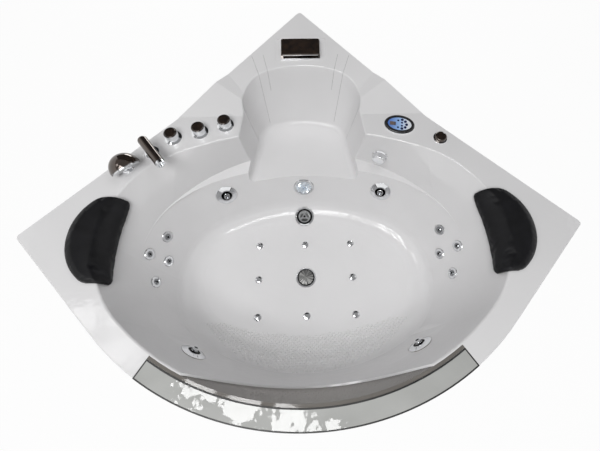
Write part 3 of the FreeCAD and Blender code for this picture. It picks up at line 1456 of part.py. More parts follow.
cap_disc = turned("knob_cap_form", (
    ("0", "joint_gap"),
    ("knob_cap_radius", "joint_gap"),
    ("knob_cap_radius", "knob_cap_height - knob_mark_depth"),
    ("knob_cap_radius - knob_mark_depth", "knob_cap_height"),
    ("0", "knob_cap_height"),
))
mark = Part.makeBox(s("knob_mark_width"), s("knob_cap_radius") * 2.0, s("knob_mark_depth") * 2.0,
                    Vector(-s("knob_mark_width") / 2.0, 0, s("knob_cap_height") - s("knob_mark_depth")))
cap_marked = cut("knob_cap_marked", cap_disc, feature("knob_mark", mark))
for prefix, label in zip(KNOBS, ("diverter_knob", "cold_knob", "hot_knob")):
    keep(feature(label, placed(barrel, Placement(spot(prefix), Rotation()))), label)
    cap_spot = Placement(spot(prefix, cap_low), Rotation())
    keep(feature(label + "_cap", placed(cap_marked, cap_spot)), label + "_cap")

# Bath spout: post on the deck, level bar with a rounded tail, chrome outlet at its nose.
SPOUT = Placement(spot("spout"), Rotation(UP, s("spout_turn")))
post_form = turned("spout_post_form", (
    ("0", "spout_post_height + spout_bar_radius / 2"),
    ("spout_post_radius", "spout_post_height + spout_bar_radius / 2"),
    ("spout_post_radius", "spout_flange_height"),
    ("spout_flange_radius", "spout_flange_height / 2"),
    ("spout_flange_radius", "0"),
    ("valve_shank_radius", "0"),
    ("valve_shank_radius", "-valve_shank_length"),
    ("0", "-valve_shank_length"),
))
ALONG = Vector(1, 0, 0)
bar_z = s("spout_post_height") + s("spout_bar_radius")
saddle = rod(Vector(0, 0, bar_z), ALONG, s("spout_bar_radius") + GAP, s("cut_reach"), s("cut_reach"))
post_cut = cut("spout_post_cut", post_form, feature("spout_saddle", saddle))
keep(feature("spout_post", placed(post_cut, SPOUT)), "spout_post")
bar_form = rod(Vector(0, 0, bar_z), ALONG, s("spout_bar_radius"), s("spout_bar_front"), s("spout_bar_back"))
bar_form = bar_form.makeFillet(s("spout_bar_round"), [
    e for e in bar_form.Edges if e.BoundBox.XMax < 0 and len(e.Vertexes) == 1])
bar_form.Placement = SPOUT
keep(feature("bath_spout", bar_form), "bath_spout")
nose_at = Vector(s("spout_bar_front") + GAP, 0, bar_z)
nose = rod(nose_at, ALONG, s("spout_outlet_radius"), s("spout_outlet_length"))
nose_end = nose_at + ALONG * s("spout_outlet_length")
nose = nose.cut(rod(nose_end, ALONG * -1.0, s("spout_outlet_bore"), s("spout_outlet_depth")))
nose.Placement = SPOUT
keep(feature("spout_outlet", nose), "spout_outlet")

# Hand shower: domed head with a tilted face and a stem that drops into a socket in the deck.
SHOWER = Placement(spot("shower"), Rotation(UP, s("shower_turn")))
tilt = math.radians(s("shower_tilt"))
face_dir = Vector(math.cos(tilt), 0, -math.sin(tilt))
dome_at = Vector(s("shower_centre_set"), 0, s("shower_centre_rise"))
face_at = dome_at + face_dir * s("shower_face_ahead")
big = s("shower_radius") * 3.0
foot_z = s("shower_socket_height") + GAP
above = Part.makeBox(2.0 * big, 2.0 * big, big, Vector(-big, -big, foot_z))
ahead = rod(face_at, face_dir, big, big)
dome = Part.makeSphere(s("shower_radius"), dome_at).common(above).cut(ahead)
stem = Part.makeCylinder(s("shower_stem_radius"), s("shower_stem_drop") + foot_z + s("shower_stem_radius"),
                         Vector(0, 0, -s("shower_stem_drop")), UP)
plate_back = face_at - face_dir * s("shower_face_sink")
dome = dome.cut(rod(plate_back, face_dir, s("shower_face_radius") + GAP, big))
neck = stem.cut(rod(plate_back - face_dir * s("shower_face_sink"), face_dir, big, big).common(above))
dome = dome.fuse(neck)
dome.Placement = SHOWER
keep(feature("shower_head", dome), "shower_head")
rose_plate = rod(plate_back + face_dir * GAP, face_dir, s("shower_face_radius"), s("shower_face_thickness"))
rose_plate = rose_plate.common(above)
side_dir = face_dir.cross(Vector(0, 1, 0))
for ring_share, count in ((0.5, 6), (1.0, 12)):
    for i in range(count):
        turn = 2.0 * math.pi * i / count
        reach = s("shower_nozzle_ring") * ring_share
        hole_at = plate_back + side_dir * (reach * math.cos(turn)) + Vector(0, reach * math.sin(turn), 0)
        rose_plate = rose_plate.cut(rod(hole_at + face_dir * s("shower_face_sink"), face_dir,
                                        s("shower_nozzle_radius"), big))
rose_plate.Placement = SHOWER
keep(feature("shower_face", rose_plate), "shower_face")
socket = turned("shower_socket", (
    ("shower_stem_radius + shower_fit_gap", "shower_socket_height"),
    ("shower_socket_flange - shower_socket_height / 2", "shower_socket_height"),
    ("shower_socket_flange", "shower_socket_height / 2"),
    ("shower_socket_flange", "0"),
    ("shower_socket_radius", "0"),
    ("shower_socket_radius", "-shower_socket_drop"),
    ("shower_stem_radius + shower_fit_gap", "-shower_socket_drop"),
))
socket.Placement = SHOWER
keep(socket, "shower_socket")

# Waterfall spout on the corner deck: flat body with a lip and a hollow hood above it.
fall_low = -s("waterfall_pad_sink") + GAP
fall_top = fall_low + s("waterfall_base_height")
fall_w = s("waterfall_width")
fall_d = s("waterfall_depth")
base = Part.makeBox(fall_w, fall_d + s("waterfall_lip_reach"), s("waterfall_base_height"),
                    Vector(-fall_w / 2.0, -fall_d / 2.0 - s("waterfall_lip_reach"), fall_low))
base = base.fuse(Part.makeCylinder(s("valve_shank_radius"), s("waterfall_shank_length"),
                                   Vector(0, 0, fall_low - s("waterfall_shank_length")), UP))
base.Placement = FALL
keep(feature("waterfall_body", base), "waterfall_body")
hood = Part.makeBox(fall_w, fall_d, s("waterfall_hood_height"),
                    Vector(-fall_w / 2.0, -fall_d / 2.0, fall_top + GAP))
hood = hood.makeFillet(s("waterfall_hood_round"), [
    e for e in hood.Edges if e.BoundBox.ZMax > fall_top + s("waterfall_hood_height") / 2.0
    and middle(e).y > -fall_d / 2.0 + GAP])
mouth_w = fall_w - 2.0 * s("waterfall_mouth_border")
mouth = Part.makeBox(mouth_w, s("waterfall_mouth_depth") + fall_d, s("waterfall_mouth_height") + fall_top,
                     Vector(-mouth_w / 2.0, -1.5 * fall_d, GAP))
hood = hood.cut(mouth)
hood.Placement = FALL
keep(feature("waterfall_hood", hood), "waterfall_hood")

# Control panel: oval bezel with its can, face, display and five push buttons.
PANEL = Placement(spot("panel"), Rotation(UP, s("panel_turn")))


def oval_prism(name, major, minor, low, height):
    edge = doc.addObject("Part::Ellipse", name + "_edge")
    edge.setExpression("MajorRadius", bound(major))
    edge.setExpression("MinorRadius", bound(minor))
    edge.setExpression("Placement.Base.z", bound(low))
    obj = doc.addObject("Part::Extrusion", name)
    obj.Base = edge
    obj.Dir = UP
    obj.setExpression("LengthFwd", bound(height))
    obj.Solid = True
    doc.recompute()
    return obj


def post_rod(name, radius, low, height):
    obj = doc.addObject("Part::Cylinder", name)
    obj.setExpression("Radius", bound(radius))
    obj.setExpression("Height", bound(height))
    obj.setExpression("Placement.Base.z", bound(low))
    doc.recompute()
    return obj


bezel_oval = oval_prism("bezel_oval", "panel_half_length", "panel_half_width", "0", "panel_height")
bezel_rolled = fillet("bezel_rolled", bezel_oval, s("panel_rim") / 2.0,
                      lambda e: abs(e.BoundBox.ZMin - s("panel_height")) < GAP)
bezel_can = post_rod("bezel_can", "panel_can_radius", "-panel_can_length",
                     "panel_can_length + panel_floor / 2")
bezel_well = oval_prism("bezel_well", "panel_half_length - panel_rim", "panel_half_width - panel_rim",
                        "panel_floor", "panel_height")
bezel = cut("bezel", fuse("bezel_solid", bezel_rolled, bezel_can), bezel_well)
keep(feature("panel_bezel", placed(bezel, PANEL)), "panel_bezel")
face_low = s("panel_floor") + GAP
KEY_SPOTS = []
for i in range(5):
    turn = math.radians((i - 2) * s("key_spread"))
    reach = s("key_ring")
    KEY_SPOTS.append(Vector(s("key_ring_set") + reach * math.cos(turn), reach * math.sin(turn), 0))
face_oval = oval_prism("face_oval", "panel_half_length - panel_rim - joint_gap",
                       "panel_half_width - panel_rim - joint_gap", "panel_floor + joint_gap",
                       "panel_face_thickness")
screen_x = -s("display_set") - s("display_length") / 2.0
screen_y = -s("display_width") / 2.0
screen = Part.makeBox(s("display_length"), s("display_width"), s("panel_face_thickness") * 2.0,
                      Vector(screen_x, screen_y, face_low))
key_holes = [rod(p, UP, s("key_radius") + GAP, s("cut_reach")) for p in KEY_SPOTS]
face_cut = cut("face_cut", face_oval, feature("face_openings", Part.makeCompound([screen] + key_holes)))
keep(feature("panel_face", placed(face_cut, PANEL)), "panel_face")
glass = Part.makeBox(s("display_length") - 2.0 * GAP, s("display_width") - 2.0 * GAP,
                     s("display_thickness") + GAP, Vector(screen_x + GAP, screen_y + GAP, face_low))
glass.Placement = PANEL
keep(feature("panel_display", glass), "panel_display")
key = turned("key_form", (
    ("0", "panel_floor + joint_gap + key_travel_gap"),
    ("key_radius", "panel_floor + joint_gap + key_travel_gap"),
    ("key_radius", "panel_floor + joint_gap + key_travel_gap + key_height * key_edge_share"),
    ("key_radius * key_edge_share", "panel_floor + joint_gap + key_travel_gap + key_height"),
    ("0", "panel_floor + joint_gap + key_travel_gap + key_height"),
))
for i, p in enumerate(KEY_SPOTS, 1):
    label = "panel_button_%d" % i
    keep(feature(label, placed(key, PANEL.multiply(Placement(p, Rotation())))), label)

# Air control: valve body with a chrome flange, and a low turning dome with a finger notch.
air_valve = turned("air_valve_body", (
    ("0", "knob_flange_edge + air_knob_height / 2"),
    ("valve_spindle_radius", "knob_flange_edge + air_knob_height / 2"),
    ("valve_spindle_radius", "knob_flange_edge"),
    ("air_knob_flange_radius", "knob_flange_edge"),
    ("air_knob_flange_radius", "0"),
    ("valve_shank_radius", "0"),
    ("valve_shank_radius", "-valve_shank_length"),
    ("valve_body_radius", "-valve_shank_length"),
    ("valve_body_radius", "-valve_shank_length - air_valve_length"),
    ("0", "-valve_shank_length - air_valve_length"),
))
air_valve.Placement = Placement(spot("air_knob"), Rotation())
keep(air_valve, "air_valve_body")
air_dome = turned("air_knob_form", (
    ("valve_spindle_radius + knob_gap", "knob_flange_edge + knob_gap"),
    ("air_knob_radius", "knob_flange_edge + knob_gap"),
    ("air_knob_radius", "knob_flange_edge + knob_gap + air_knob_height"),
    ("0", "knob_flange_edge + knob_gap + air_knob_height"),
    ("0", "knob_flange_edge + knob_gap * 2 + air_knob_height / 2"),
    ("valve_spindle_radius + knob_gap", "knob_flange_edge + knob_gap * 2 + air_knob_height / 2"),
))
dome_top = s("knob_flange_edge") + s("knob_gap") + s("air_knob_height")
soften(air_dome, "air_knob_round", circle_at(s("air_knob_radius"), dome_top))
notch = Part.makeBox(s("air_knob_radius"), s("air_knob_notch"), s("cut_reach"),
                     Vector(s("air_knob_radius") - s("air_knob_notch_depth"), -s("air_knob_notch") / 2.0,
                            dome_top - s("air_knob_height") / 2.0))
notch.rotate(Vector(0, 0, 0), UP, s("air_knob_notch_turn"))
air_notched = cut("air_knob_notched", air_dome, feature("air_knob_notch_box", notch))
keep(feature("air_knob", placed(air_notched, Placement(spot("air_knob"), Rotation()))), "air_knob")

# Nuts that hold the deck fittings from below.
nut = turned("deck_nut_form", (
    ("valve_shank_radius + joint_gap", "-shell_wall - joint_gap - deck_nut_height"),
    ("deck_nut_radius", "-shell_wall - joint_gap - deck_nut_height"),
    ("deck_nut_radius", "-shell_wall - joint_gap"),
    ("valve_shank_radius + joint_gap", "-shell_wall - joint_gap"),
))
NUTS = [Placement(spot(prefix), Rotation()) for prefix in KNOBS + ("spout", "air_knob")]
group("deck_nuts", nut, NUTS + [FALL])


# Head pillows bent over the rim at both ends: thick at the rim, drawn in towards their ends.
def wall_x(y, drop):
    half, front, back, end, radius = basin_section(drop / DEPTH)
    return half - radius + math.sqrt(radius ** 2 - (y - end) ** 2)


def pillow_section(t):
    full = math.sqrt(max(1.0 - t * t, 0.0))
    y = (s("pillow_y_share") + s("pillow_half_share") * t) * TUB
    reach = lerp(s("pillow_end_reach"), s("pillow_deck_reach"), full)
    thick = lerp(s("pillow_end_thickness"), s("pillow_thickness"), full)
    hang = lerp(s("pillow_end_hang"), s("pillow_hang"), full)
    gap = s("pillow_gap")
    edge = wall_x(y, 0.0)
    low = wall_x(y, hang) - s("pillow_wall_gap")
    away = Vector(-hang, 0, edge - low).normalize()
    deck_out = at(edge + reach, y, gap)
    deck_in = at(edge - gap, y, gap)
    tip = at(low, y, -hang)
    tip_out = tip + away * (thick * s("pillow_tip_share"))
    brow = at(edge - thick * s("pillow_brow_share"), y, thick * s("pillow_brow_rise_share"))
    ridge = at(edge + reach - thick * s("pillow_ridge_share"), y, thick)
    heel = at(edge + reach, y, gap + thick * s("pillow_heel_share"))
    bulge = s("pillow_inset") * thick / s("pillow_thickness")
    tip_bulge = bulge * s("pillow_tip_bulge_share")
    tip_mid = lerp(tip, tip_out, 0.5) + (tip - deck_in).normalize() * tip_bulge
    face_mid = lerp(tip_out, brow, 0.5) + away * (bulge * s("pillow_face_bulge_share"))
    dish_mid = lerp(brow, ridge, 0.5) - UP * (bulge * s("pillow_dish_share"))
    heel_mid = lerp(ridge, heel, 0.5) + Vector(tip_bulge, 0, tip_bulge)
    return Part.Wire([
        line(deck_out, deck_in),
        line(deck_in, tip),
        arc(tip, tip_mid, tip_out),
        arc(tip_out, face_mid, brow),
        arc(brow, dish_mid, ridge),
        arc(ridge, heel_mid, heel),
        line(heel, deck_out),
    ])


PILLOW_STEPS = (-1.0, -0.95, -0.82, -0.6, -0.3, 0.0, 0.3, 0.6, 0.82, 0.95, 1.0)
pillow = loft("pillow_right", [pillow_section(t) for t in PILLOW_STEPS])
pillow.Ruled = False
doc.recompute()
keep(pillow, "pillow_right")
mirrored = doc.addObject("Part::Mirroring", "pillow_left")
mirrored.Source = pillow
mirrored.Normal = Vector(1, 0, 0)
doc.recompute()
keep(mirrored, "pillow_left")

# Every node is checked and written to its own file.
doc.recompute()
for obj in doc.Objects:
    if "Invalid" in obj.State or "Error" in obj.State:
        raise RuntimeError("object not built: " + obj.Label)
os.makedirs("parts", exist_ok=True)
for obj in NODES:
    if obj.Shape.isNull() or not obj.Shape.isValid() or not obj.Shape.Solids:
        raise RuntimeError("no valid solid: " + obj.Label)
    obj.Shape.exportStep("parts/%s.step" % obj.Label)
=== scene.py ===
import math

import bmesh
import bpy
from mathutils import Matrix, Vector
from mathutils.bvhtree import BVHTree


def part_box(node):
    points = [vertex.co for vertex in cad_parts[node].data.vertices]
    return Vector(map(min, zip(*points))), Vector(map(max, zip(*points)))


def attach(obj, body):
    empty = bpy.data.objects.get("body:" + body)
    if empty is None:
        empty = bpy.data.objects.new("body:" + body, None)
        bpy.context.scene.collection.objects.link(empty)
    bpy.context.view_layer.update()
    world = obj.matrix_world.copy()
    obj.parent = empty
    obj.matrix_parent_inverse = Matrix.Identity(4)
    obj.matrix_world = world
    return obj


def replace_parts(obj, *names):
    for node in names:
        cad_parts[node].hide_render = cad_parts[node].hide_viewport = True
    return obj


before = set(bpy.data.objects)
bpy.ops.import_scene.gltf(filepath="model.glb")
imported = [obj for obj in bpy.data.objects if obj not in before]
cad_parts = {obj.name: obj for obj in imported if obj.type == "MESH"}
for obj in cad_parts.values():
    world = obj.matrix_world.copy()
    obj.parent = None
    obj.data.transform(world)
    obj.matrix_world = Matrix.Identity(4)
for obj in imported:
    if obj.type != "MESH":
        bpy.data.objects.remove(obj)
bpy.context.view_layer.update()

# Camera
# The bath is seen from a ladder just behind its front rim, looking steeply down into the basin
# through a wide lens that leans a little to one side.
CAMERA_PLACE = Vector((0.0005, -0.5795, 1.6456))
CAMERA_YAW = math.radians(3.78)
CAMERA_PITCH = math.radians(67.43)
CAMERA_ROLL = math.radians(2.07)
CAMERA_LENS_MM = 19.42
CAMERA_SHIFT = (-0.0213, -0.0164)


def put_in_scene(thing):
    bpy.context.scene.collection.objects.link(thing)
    return thing


bpy.context.scene.view_settings.view_transform = "Standard"
lens = bpy.data.cameras.new("camera")
lens.lens = CAMERA_LENS_MM
lens.shift_x, lens.shift_y = CAMERA_SHIFT
camera = put_in_scene(bpy.data.objects.new("camera", lens))
camera_turn = Matrix.Rotation(-CAMERA_YAW, 4, "Z")
camera_tilt = Matrix.Rotation(math.pi / 2 - CAMERA_PITCH, 4, "X")
camera_lean = Matrix.Rotation(CAMERA_ROLL, 4, "Z")
camera.matrix_world = Matrix.Translation(CAMERA_PLACE) @ camera_turn @ camera_tilt @ camera_lean
bpy.context.scene.camera = camera

# Floor, ceiling and windows
# A pale floor that looks white to the camera and still takes the bath's shadow, a grey ceiling and a dark
# card behind the corner for the chrome to mirror, soft windows in panes before the front rim and on the left,
# a soft box that no mirror shows, and a low lamp that lights the pipes and frame from behind.
FLOOR_SIZE = 60.0
FLOOR_COLOUR = (0.82, 0.82, 0.82)
FLOOR_GLOW_SHARE = 0.95
CEILING_SIZE = 9.0
CEILING_HEIGHT = 4.6
CEILING_COLOUR = (0.10, 0.10, 0.105)
CEILING_GLOW = 0.28
CARD_COLOUR = (0.012, 0.012, 0.014)
CARD_HALF_WIDTH = 2.6
CARD_HEIGHTS = (0.8, 4.4)
CARD_Y = 2.4
SKY_COLOUR = (1.0, 1.0, 1.0)
SKY_STRENGTH = 0.22
WINDOWS = (
    ("front_window", (-0.70, -1.65, 3.4), (4, 3), (0.36, 0.40), 0.16, 63.0),
    ("side_window", (-2.3, -0.35, 3.4), (2, 2), (0.30, 0.38), 0.08, 6.0),
    ("corner_box", (0.9, 1.0, 4.0), (1, 1), (2.2, 2.2), 0.0, 18.0),
    ("rear_fill", (0.0, 3.4, 0.55), (1, 1), (3.0, 0.7), 0.0, 45.0),
)
UNMIRRORED_WINDOW = "corner_box"
WINDOW_AIM = Vector((0.0, -0.1, 0.4))


def flat_sheet(name, corners):
    mesh = bpy.data.meshes.new(name)
    mesh.from_pydata(corners, [], [(0, 1, 2, 3)])
    return put_in_scene(bpy.data.objects.new(name, mesh))


def level_square(side, height):
    half = side / 2
    return [(-half, -half, height), (half, -half, height), (half, half, height), (-half, half, height)]


def tree_math(tree, operation, *values):
    node = tree.nodes.new("ShaderNodeMath")
    node.operation = operation
    for socket, value in zip(node.inputs, values):
        if isinstance(value, (int, float)):
            socket.default_value = value
        else:
            tree.links.new(value, socket)
    return node.outputs["Value"]


def seen_rays(tree):
    # One for rays that leave the camera, a mirror or glass, else zero.
    path = tree.nodes.new("ShaderNodeLightPath")
    mirrored = tree_math(tree, "MAXIMUM", path.outputs["Is Glossy Ray"], path.outputs["Is Transmission Ray"])
    return tree_math(tree, "MAXIMUM", path.outputs["Is Camera Ray"], mirrored)


def floor_finish():
    finish = bpy.data.materials.new("pale_floor")
    finish.use_nodes = True
    tree = finish.node_tree
    tree.nodes.clear()
    lit = tree.nodes.new("ShaderNodeBsdfDiffuse")
    lit.inputs["Color"].default_value = (*FLOOR_COLOUR, 1.0)
    glow = tree.nodes.new("ShaderNodeEmission")
    mix = tree.nodes.new("ShaderNodeMixShader")
    out = tree.nodes.new("ShaderNodeOutputMaterial")
    tree.links.new(tree_math(tree, "MULTIPLY", seen_rays(tree), FLOOR_GLOW_SHARE), mix.inputs["Fac"])
    tree.links.new(lit.outputs["BSDF"], mix.inputs[1])
    tree.links.new(glow.outputs["Emission"], mix.inputs[2])
    tree.links.new(mix.outputs["Shader"], out.inputs["Surface"])
    return finish


def dull_finish(name, colour):
    finish = bpy.data.materials.new(name)
    finish.use_nodes = True
    shader = finish.node_tree.nodes["Principled BSDF"]
    shader.inputs["Base Color"].default_value = (*colour, 1.0)
    shader.inputs["Roughness"].default_value = 1.0
    return finish


floor = flat_sheet("floor", level_square(FLOOR_SIZE, 0.0))
floor.data.materials.append(floor_finish())
ceiling = flat_sheet("ceiling", level_square(CEILING_SIZE, CEILING_HEIGHT))
ceiling_paint = dull_finish("grey_ceiling", CEILING_COLOUR)
ceiling_shader = ceiling_paint.node_tree.nodes["Principled BSDF"]
ceiling_shader.inputs["Emission Color"].default_value = (1.0, 1.0, 1.0, 1.0)
ceiling_shader.inputs["Emission Strength"].default_value = CEILING_GLOW
ceiling.data.materials.append(ceiling_paint)
card_low, card_high = CARD_HEIGHTS
card = flat_sheet("dark_card", [(-CARD_HALF_WIDTH, CARD_Y, card_low), (CARD_HALF_WIDTH, CARD_Y, card_low),
                                (CARD_HALF_WIDTH, CARD_Y, card_high), (-CARD_HALF_WIDTH, CARD_Y, card_high)])
card.data.materials.append(dull_finish("dark_card", CARD_COLOUR))
card.visible_camera = False

sky = bpy.data.worlds.new("sky")
sky.use_nodes = True
sky_light = sky.node_tree.nodes["Background"]
sky_light.inputs["Color"].default_value = (*SKY_COLOUR, 1.0)
sky_strength = sky.node_tree.nodes.new("ShaderNodeMapRange")
sky_strength.inputs["To Min"].default_value = SKY_STRENGTH
sky.node_tree.links.new(seen_rays(sky.node_tree), sky_strength.inputs["Value"])
sky.node_tree.links.new(sky_strength.outputs["Result"], sky_light.inputs["Strength"])
bpy.context.scene.world = sky

for window_name, window_place, (columns, rows), pane_size, bar, watts in WINDOWS:
    window_turn = (WINDOW_AIM - Vector(window_place)).to_track_quat("-Z", "Y")
    for column in range(columns):
        for row in range(rows):
            light = bpy.data.lights.new(window_name, "AREA")
            light.shape = "RECTANGLE"
            light.size, light.size_y = pane_size
            light.energy = watts / (columns * rows)
            across = (column - (columns - 1) / 2) * (pane_size[0] + bar)
            up = (row - (rows - 1) / 2) * (pane_size[1] + bar)
            lamp = put_in_scene(bpy.data.objects.new(window_name, light))
            lamp.location = Vector(window_place) + window_turn @ Vector((across, up, 0.0))
            lamp.rotation_euler = window_turn.to_euler()
            lamp.visible_camera = False
            lamp.visible_glossy = window_name != UNMIRRORED_WINDOW

# Base frame and levelling feet
# Square steel tubes welded into a cradle and coated in grey paint, on plastic levelling feet that screw up
# and down. They carry the basin floor and the rim, and only show from behind.
FRAME_GREY = (0.36, 0.37, 0.38)
FRAME_GREY_WORN = (0.44, 0.45, 0.46)
FOOT_BLACK = (0.022, 0.022, 0.024)
FOOT_BLACK_DUSTY = (0.05, 0.05, 0.05)
NOISE_RANGE = (0.3, 0.7)


def make_finish(name, colour, roughness, metal=0.0):
    finish = bpy.data.materials.new(name)
    finish.use_nodes = True
    shader = finish.node_tree.nodes["Principled BSDF"]
    shader.inputs["Base Color"].default_value = (*colour, 1.0)
    shader.inputs["Roughness"].default_value = roughness
    shader.inputs["Metallic"].default_value = metal
    return finish


def shader_of(finish):
    return finish.node_tree.nodes["Principled BSDF"]


def own_coordinates(finish, centre=(0, 0, 0), turn=(0, 0, 0), stretch=(1, 1, 1)):
    nodes = finish.node_tree.nodes
    place = nodes.new("ShaderNodeTexCoord")
    mapping = nodes.new("ShaderNodeMapping")
    mapping.vector_type = "TEXTURE"
    mapping.inputs["Location"].default_value = centre
    mapping.inputs["Rotation"].default_value = turn
    mapping.inputs["Scale"].default_value = stretch
    finish.node_tree.links.new(place.outputs["Object"], mapping.inputs["Vector"])
    return mapping.outputs["Vector"]


def clouds(finish, scale, detail=3.0, stretch=(1, 1, 1), turn=(0, 0, 0)):
    noise = finish.node_tree.nodes.new("ShaderNodeTexNoise")
    noise.inputs["Scale"].default_value = scale
    noise.inputs["Detail"].default_value = detail
    coordinates = own_coordinates(finish, turn=turn, stretch=stretch)
    finish.node_tree.links.new(coordinates, noise.inputs["Vector"])
    return noise.outputs["Fac"]


def cells(finish, scale):
    grain = finish.node_tree.nodes.new("ShaderNodeTexVoronoi")
    grain.inputs["Scale"].default_value = scale
    finish.node_tree.links.new(own_coordinates(finish), grain.inputs["Vector"])
    return grain.outputs["Distance"]


def blend_colours(finish, source, low_colour, high_colour, low=0.35, high=0.65):
    ramp = finish.node_tree.nodes.new("ShaderNodeValToRGB")
    ramp.color_ramp.elements[0].position = low
    ramp.color_ramp.elements[0].color = (*low_colour, 1.0)
    ramp.color_ramp.elements[1].position = high
    ramp.color_ramp.elements[1].color = (*high_colour, 1.0)
    finish.node_tree.links.new(source, ramp.inputs["Fac"])
    finish.node_tree.links.new(ramp.outputs["Color"], shader_of(finish).inputs["Base Color"])
    return ramp.outputs["Color"]


def spread_of(finish, source, low, high):
    spread = finish.node_tree.nodes.new("ShaderNodeMapRange")
    spread.inputs["From Min"].default_value, spread.inputs["From Max"].default_value = NOISE_RANGE
    spread.inputs["To Min"].default_value = low
    spread.inputs["To Max"].default_value = high
    finish.node_tree.links.new(source, spread.inputs["Value"])
    return spread.outputs["Result"]


def vary_gloss(finish, source, low, high):
    finish.node_tree.links.new(spread_of(finish, source, low, high), shader_of(finish).inputs["Roughness"])


def emboss(finish, source, height):
    bump = finish.node_tree.nodes.new("ShaderNodeBump")
    bump.inputs["Strength"].default_value = 1.0
    bump.inputs["Distance"].default_value = height
    finish.node_tree.links.new(source, bump.inputs["Height"])
    finish.node_tree.links.new(bump.outputs["Normal"], shader_of(finish).inputs["Normal"])


def dress(finish, *node_names):
    for node_name in node_names:
        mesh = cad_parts[node_name].data
        mesh.materials.clear()
        mesh.materials.append(finish)


frame_paint = make_finish("grey_frame_paint", FRAME_GREY, 0.42)
blend_colours(frame_paint, clouds(frame_paint, 9.0, detail=6.0), FRAME_GREY, FRAME_GREY_WORN)
vary_gloss(frame_paint, clouds(frame_paint, 30.0), 0.34, 0.52)
emboss(frame_paint, clouds(frame_paint, 700.0), 0.00012)
dress(frame_paint, "frame_tubes")

foot_plastic = make_finish("black_foot_plastic", FOOT_BLACK, 0.5)
blend_colours(foot_plastic, clouds(foot_plastic, 40.0, detail=5.0), FOOT_BLACK, FOOT_BLACK_DUSTY)
emboss(foot_plastic, clouds(foot_plastic, 1500.0), 0.00008)
dress(foot_plastic, "levelling_feet")

# Tub shell
# One sheet of white acrylic, drawn by vacuum over a mould and backed from behind with glass fibre and resin.
# The face is glossy with a faint orange peel; the hidden back is matt, cloudy and full of fibre strands.
ACRYLIC_WHITE = (0.80, 0.795, 0.80)
ACRYLIC_WHITE_DEEP = (0.765, 0.76, 0.765)
RESIN_PALE = (0.52, 0.49, 0.40)
RESIN_DARK = (0.40, 0.37, 0.29)
BATH_EYE = Vector((0.0, -0.2, 0.95))
LIP_FOOT = 0.5435
DOWNWARD = -0.5
ACRYLIC_IOR = 1.49


def fibre_back_mask(finish):
    # One where a face looks away from the middle of the bath and lies below the lip or faces down, else zero.
    tree = finish.node_tree
    place = tree.nodes.new("ShaderNodeTexCoord")
    from_eye = tree.nodes.new("ShaderNodeVectorMath")
    from_eye.operation = "SUBTRACT"
    from_eye.inputs[1].default_value = BATH_EYE
    facing = tree.nodes.new("ShaderNodeVectorMath")
    facing.operation = "DOT_PRODUCT"
    split = tree.nodes.new("ShaderNodeSeparateXYZ")
    normal_split = tree.nodes.new("ShaderNodeSeparateXYZ")
    tree.links.new(place.outputs["Object"], from_eye.inputs[0])
    tree.links.new(from_eye.outputs["Vector"], facing.inputs[0])
    tree.links.new(place.outputs["Normal"], facing.inputs[1])
    tree.links.new(place.outputs["Object"], split.inputs["Vector"])
    tree.links.new(place.outputs["Normal"], normal_split.inputs["Vector"])
    away = tree_math(tree, "GREATER_THAN", facing.outputs["Value"], 0.0)
    below = tree_math(tree, "LESS_THAN", split.outputs["Z"], LIP_FOOT)
    downward = tree_math(tree, "LESS_THAN", normal_split.outputs["Z"], DOWNWARD)
    return tree_math(tree, "MULTIPLY", away, tree_math(tree, "MAXIMUM", below, downward))


def choose(finish, mask, socket_type, face_source, back_source, target):
    pick = finish.node_tree.nodes.new("ShaderNodeMix")
    pick.data_type = socket_type
    ends = [s for s in pick.inputs if s.enabled and s.name in ("A", "B")]
    finish.node_tree.links.new(mask, pick.inputs[0])
    finish.node_tree.links.new(face_source, ends[0])
    finish.node_tree.links.new(back_source, ends[1])
    result = [s for s in pick.outputs if s.enabled][0]
    finish.node_tree.links.new(result, shader_of(finish).inputs[target])


def tub_acrylic():
    finish = make_finish("white_acrylic", ACRYLIC_WHITE, 0.1)
    shader_of(finish).inputs["IOR"].default_value = ACRYLIC_IOR
    mask = fibre_back_mask(finish)
    white = blend_colours(finish, clouds(finish, 2.2), ACRYLIC_WHITE_DEEP, ACRYLIC_WHITE)
    strands = clouds(finish, 26.0, detail=8.0, stretch=(1.0, 1.0, 0.35))
    resin = blend_colours(finish, strands, RESIN_DARK, RESIN_PALE, 0.38, 0.6)
    choose(finish, mask, "RGBA", white, resin, "Base Color")
    gloss = spread_of(finish, clouds(finish, 5.0), 0.07, 0.13)
    rough = spread_of(finish, strands, 0.55, 0.85)
    choose(finish, mask, "FLOAT", gloss, rough, "Roughness")
    peel = spread_of(finish, clouds(finish, 38.0, detail=1.0), 0.0, 0.0006)
    lay = spread_of(finish, strands, 0.0, 0.004)
    height = finish.node_tree.nodes.new("ShaderNodeMix")
    finish.node_tree.links.new(mask, height.inputs[0])
    finish.node_tree.links.new(peel, height.inputs[2])
    finish.node_tree.links.new(lay, height.inputs[3])
    emboss(finish, height.outputs[0], 0.25)
    return finish


white_acrylic = tub_acrylic()
dress(white_acrylic, "tub_shell")

# Grip dots
# Small staggered pimples moulded into the acrylic along the front edge of the basin floor, so that wet
# feet don't slip. They follow the floor where it starts to curve up into the front wall.
DOT_SPACING = 0.017
DOT_RADIUS = 0.0046
DOT_HEIGHT = 0.0026
DOT_FIELD = (0.90, 0.20)
DOT_FIELD_FRONT = -0.665
DOT_OVAL_CENTRE_Y = -0.255
DOT_OVAL_OUTER = (0.50, 0.405)
DOT_OVAL_INNER = (0.56, 0.265)
DOT_RAY_HEIGHT = 0.5
DOT_SEGMENTS = 8
DOT_RINGS = 6


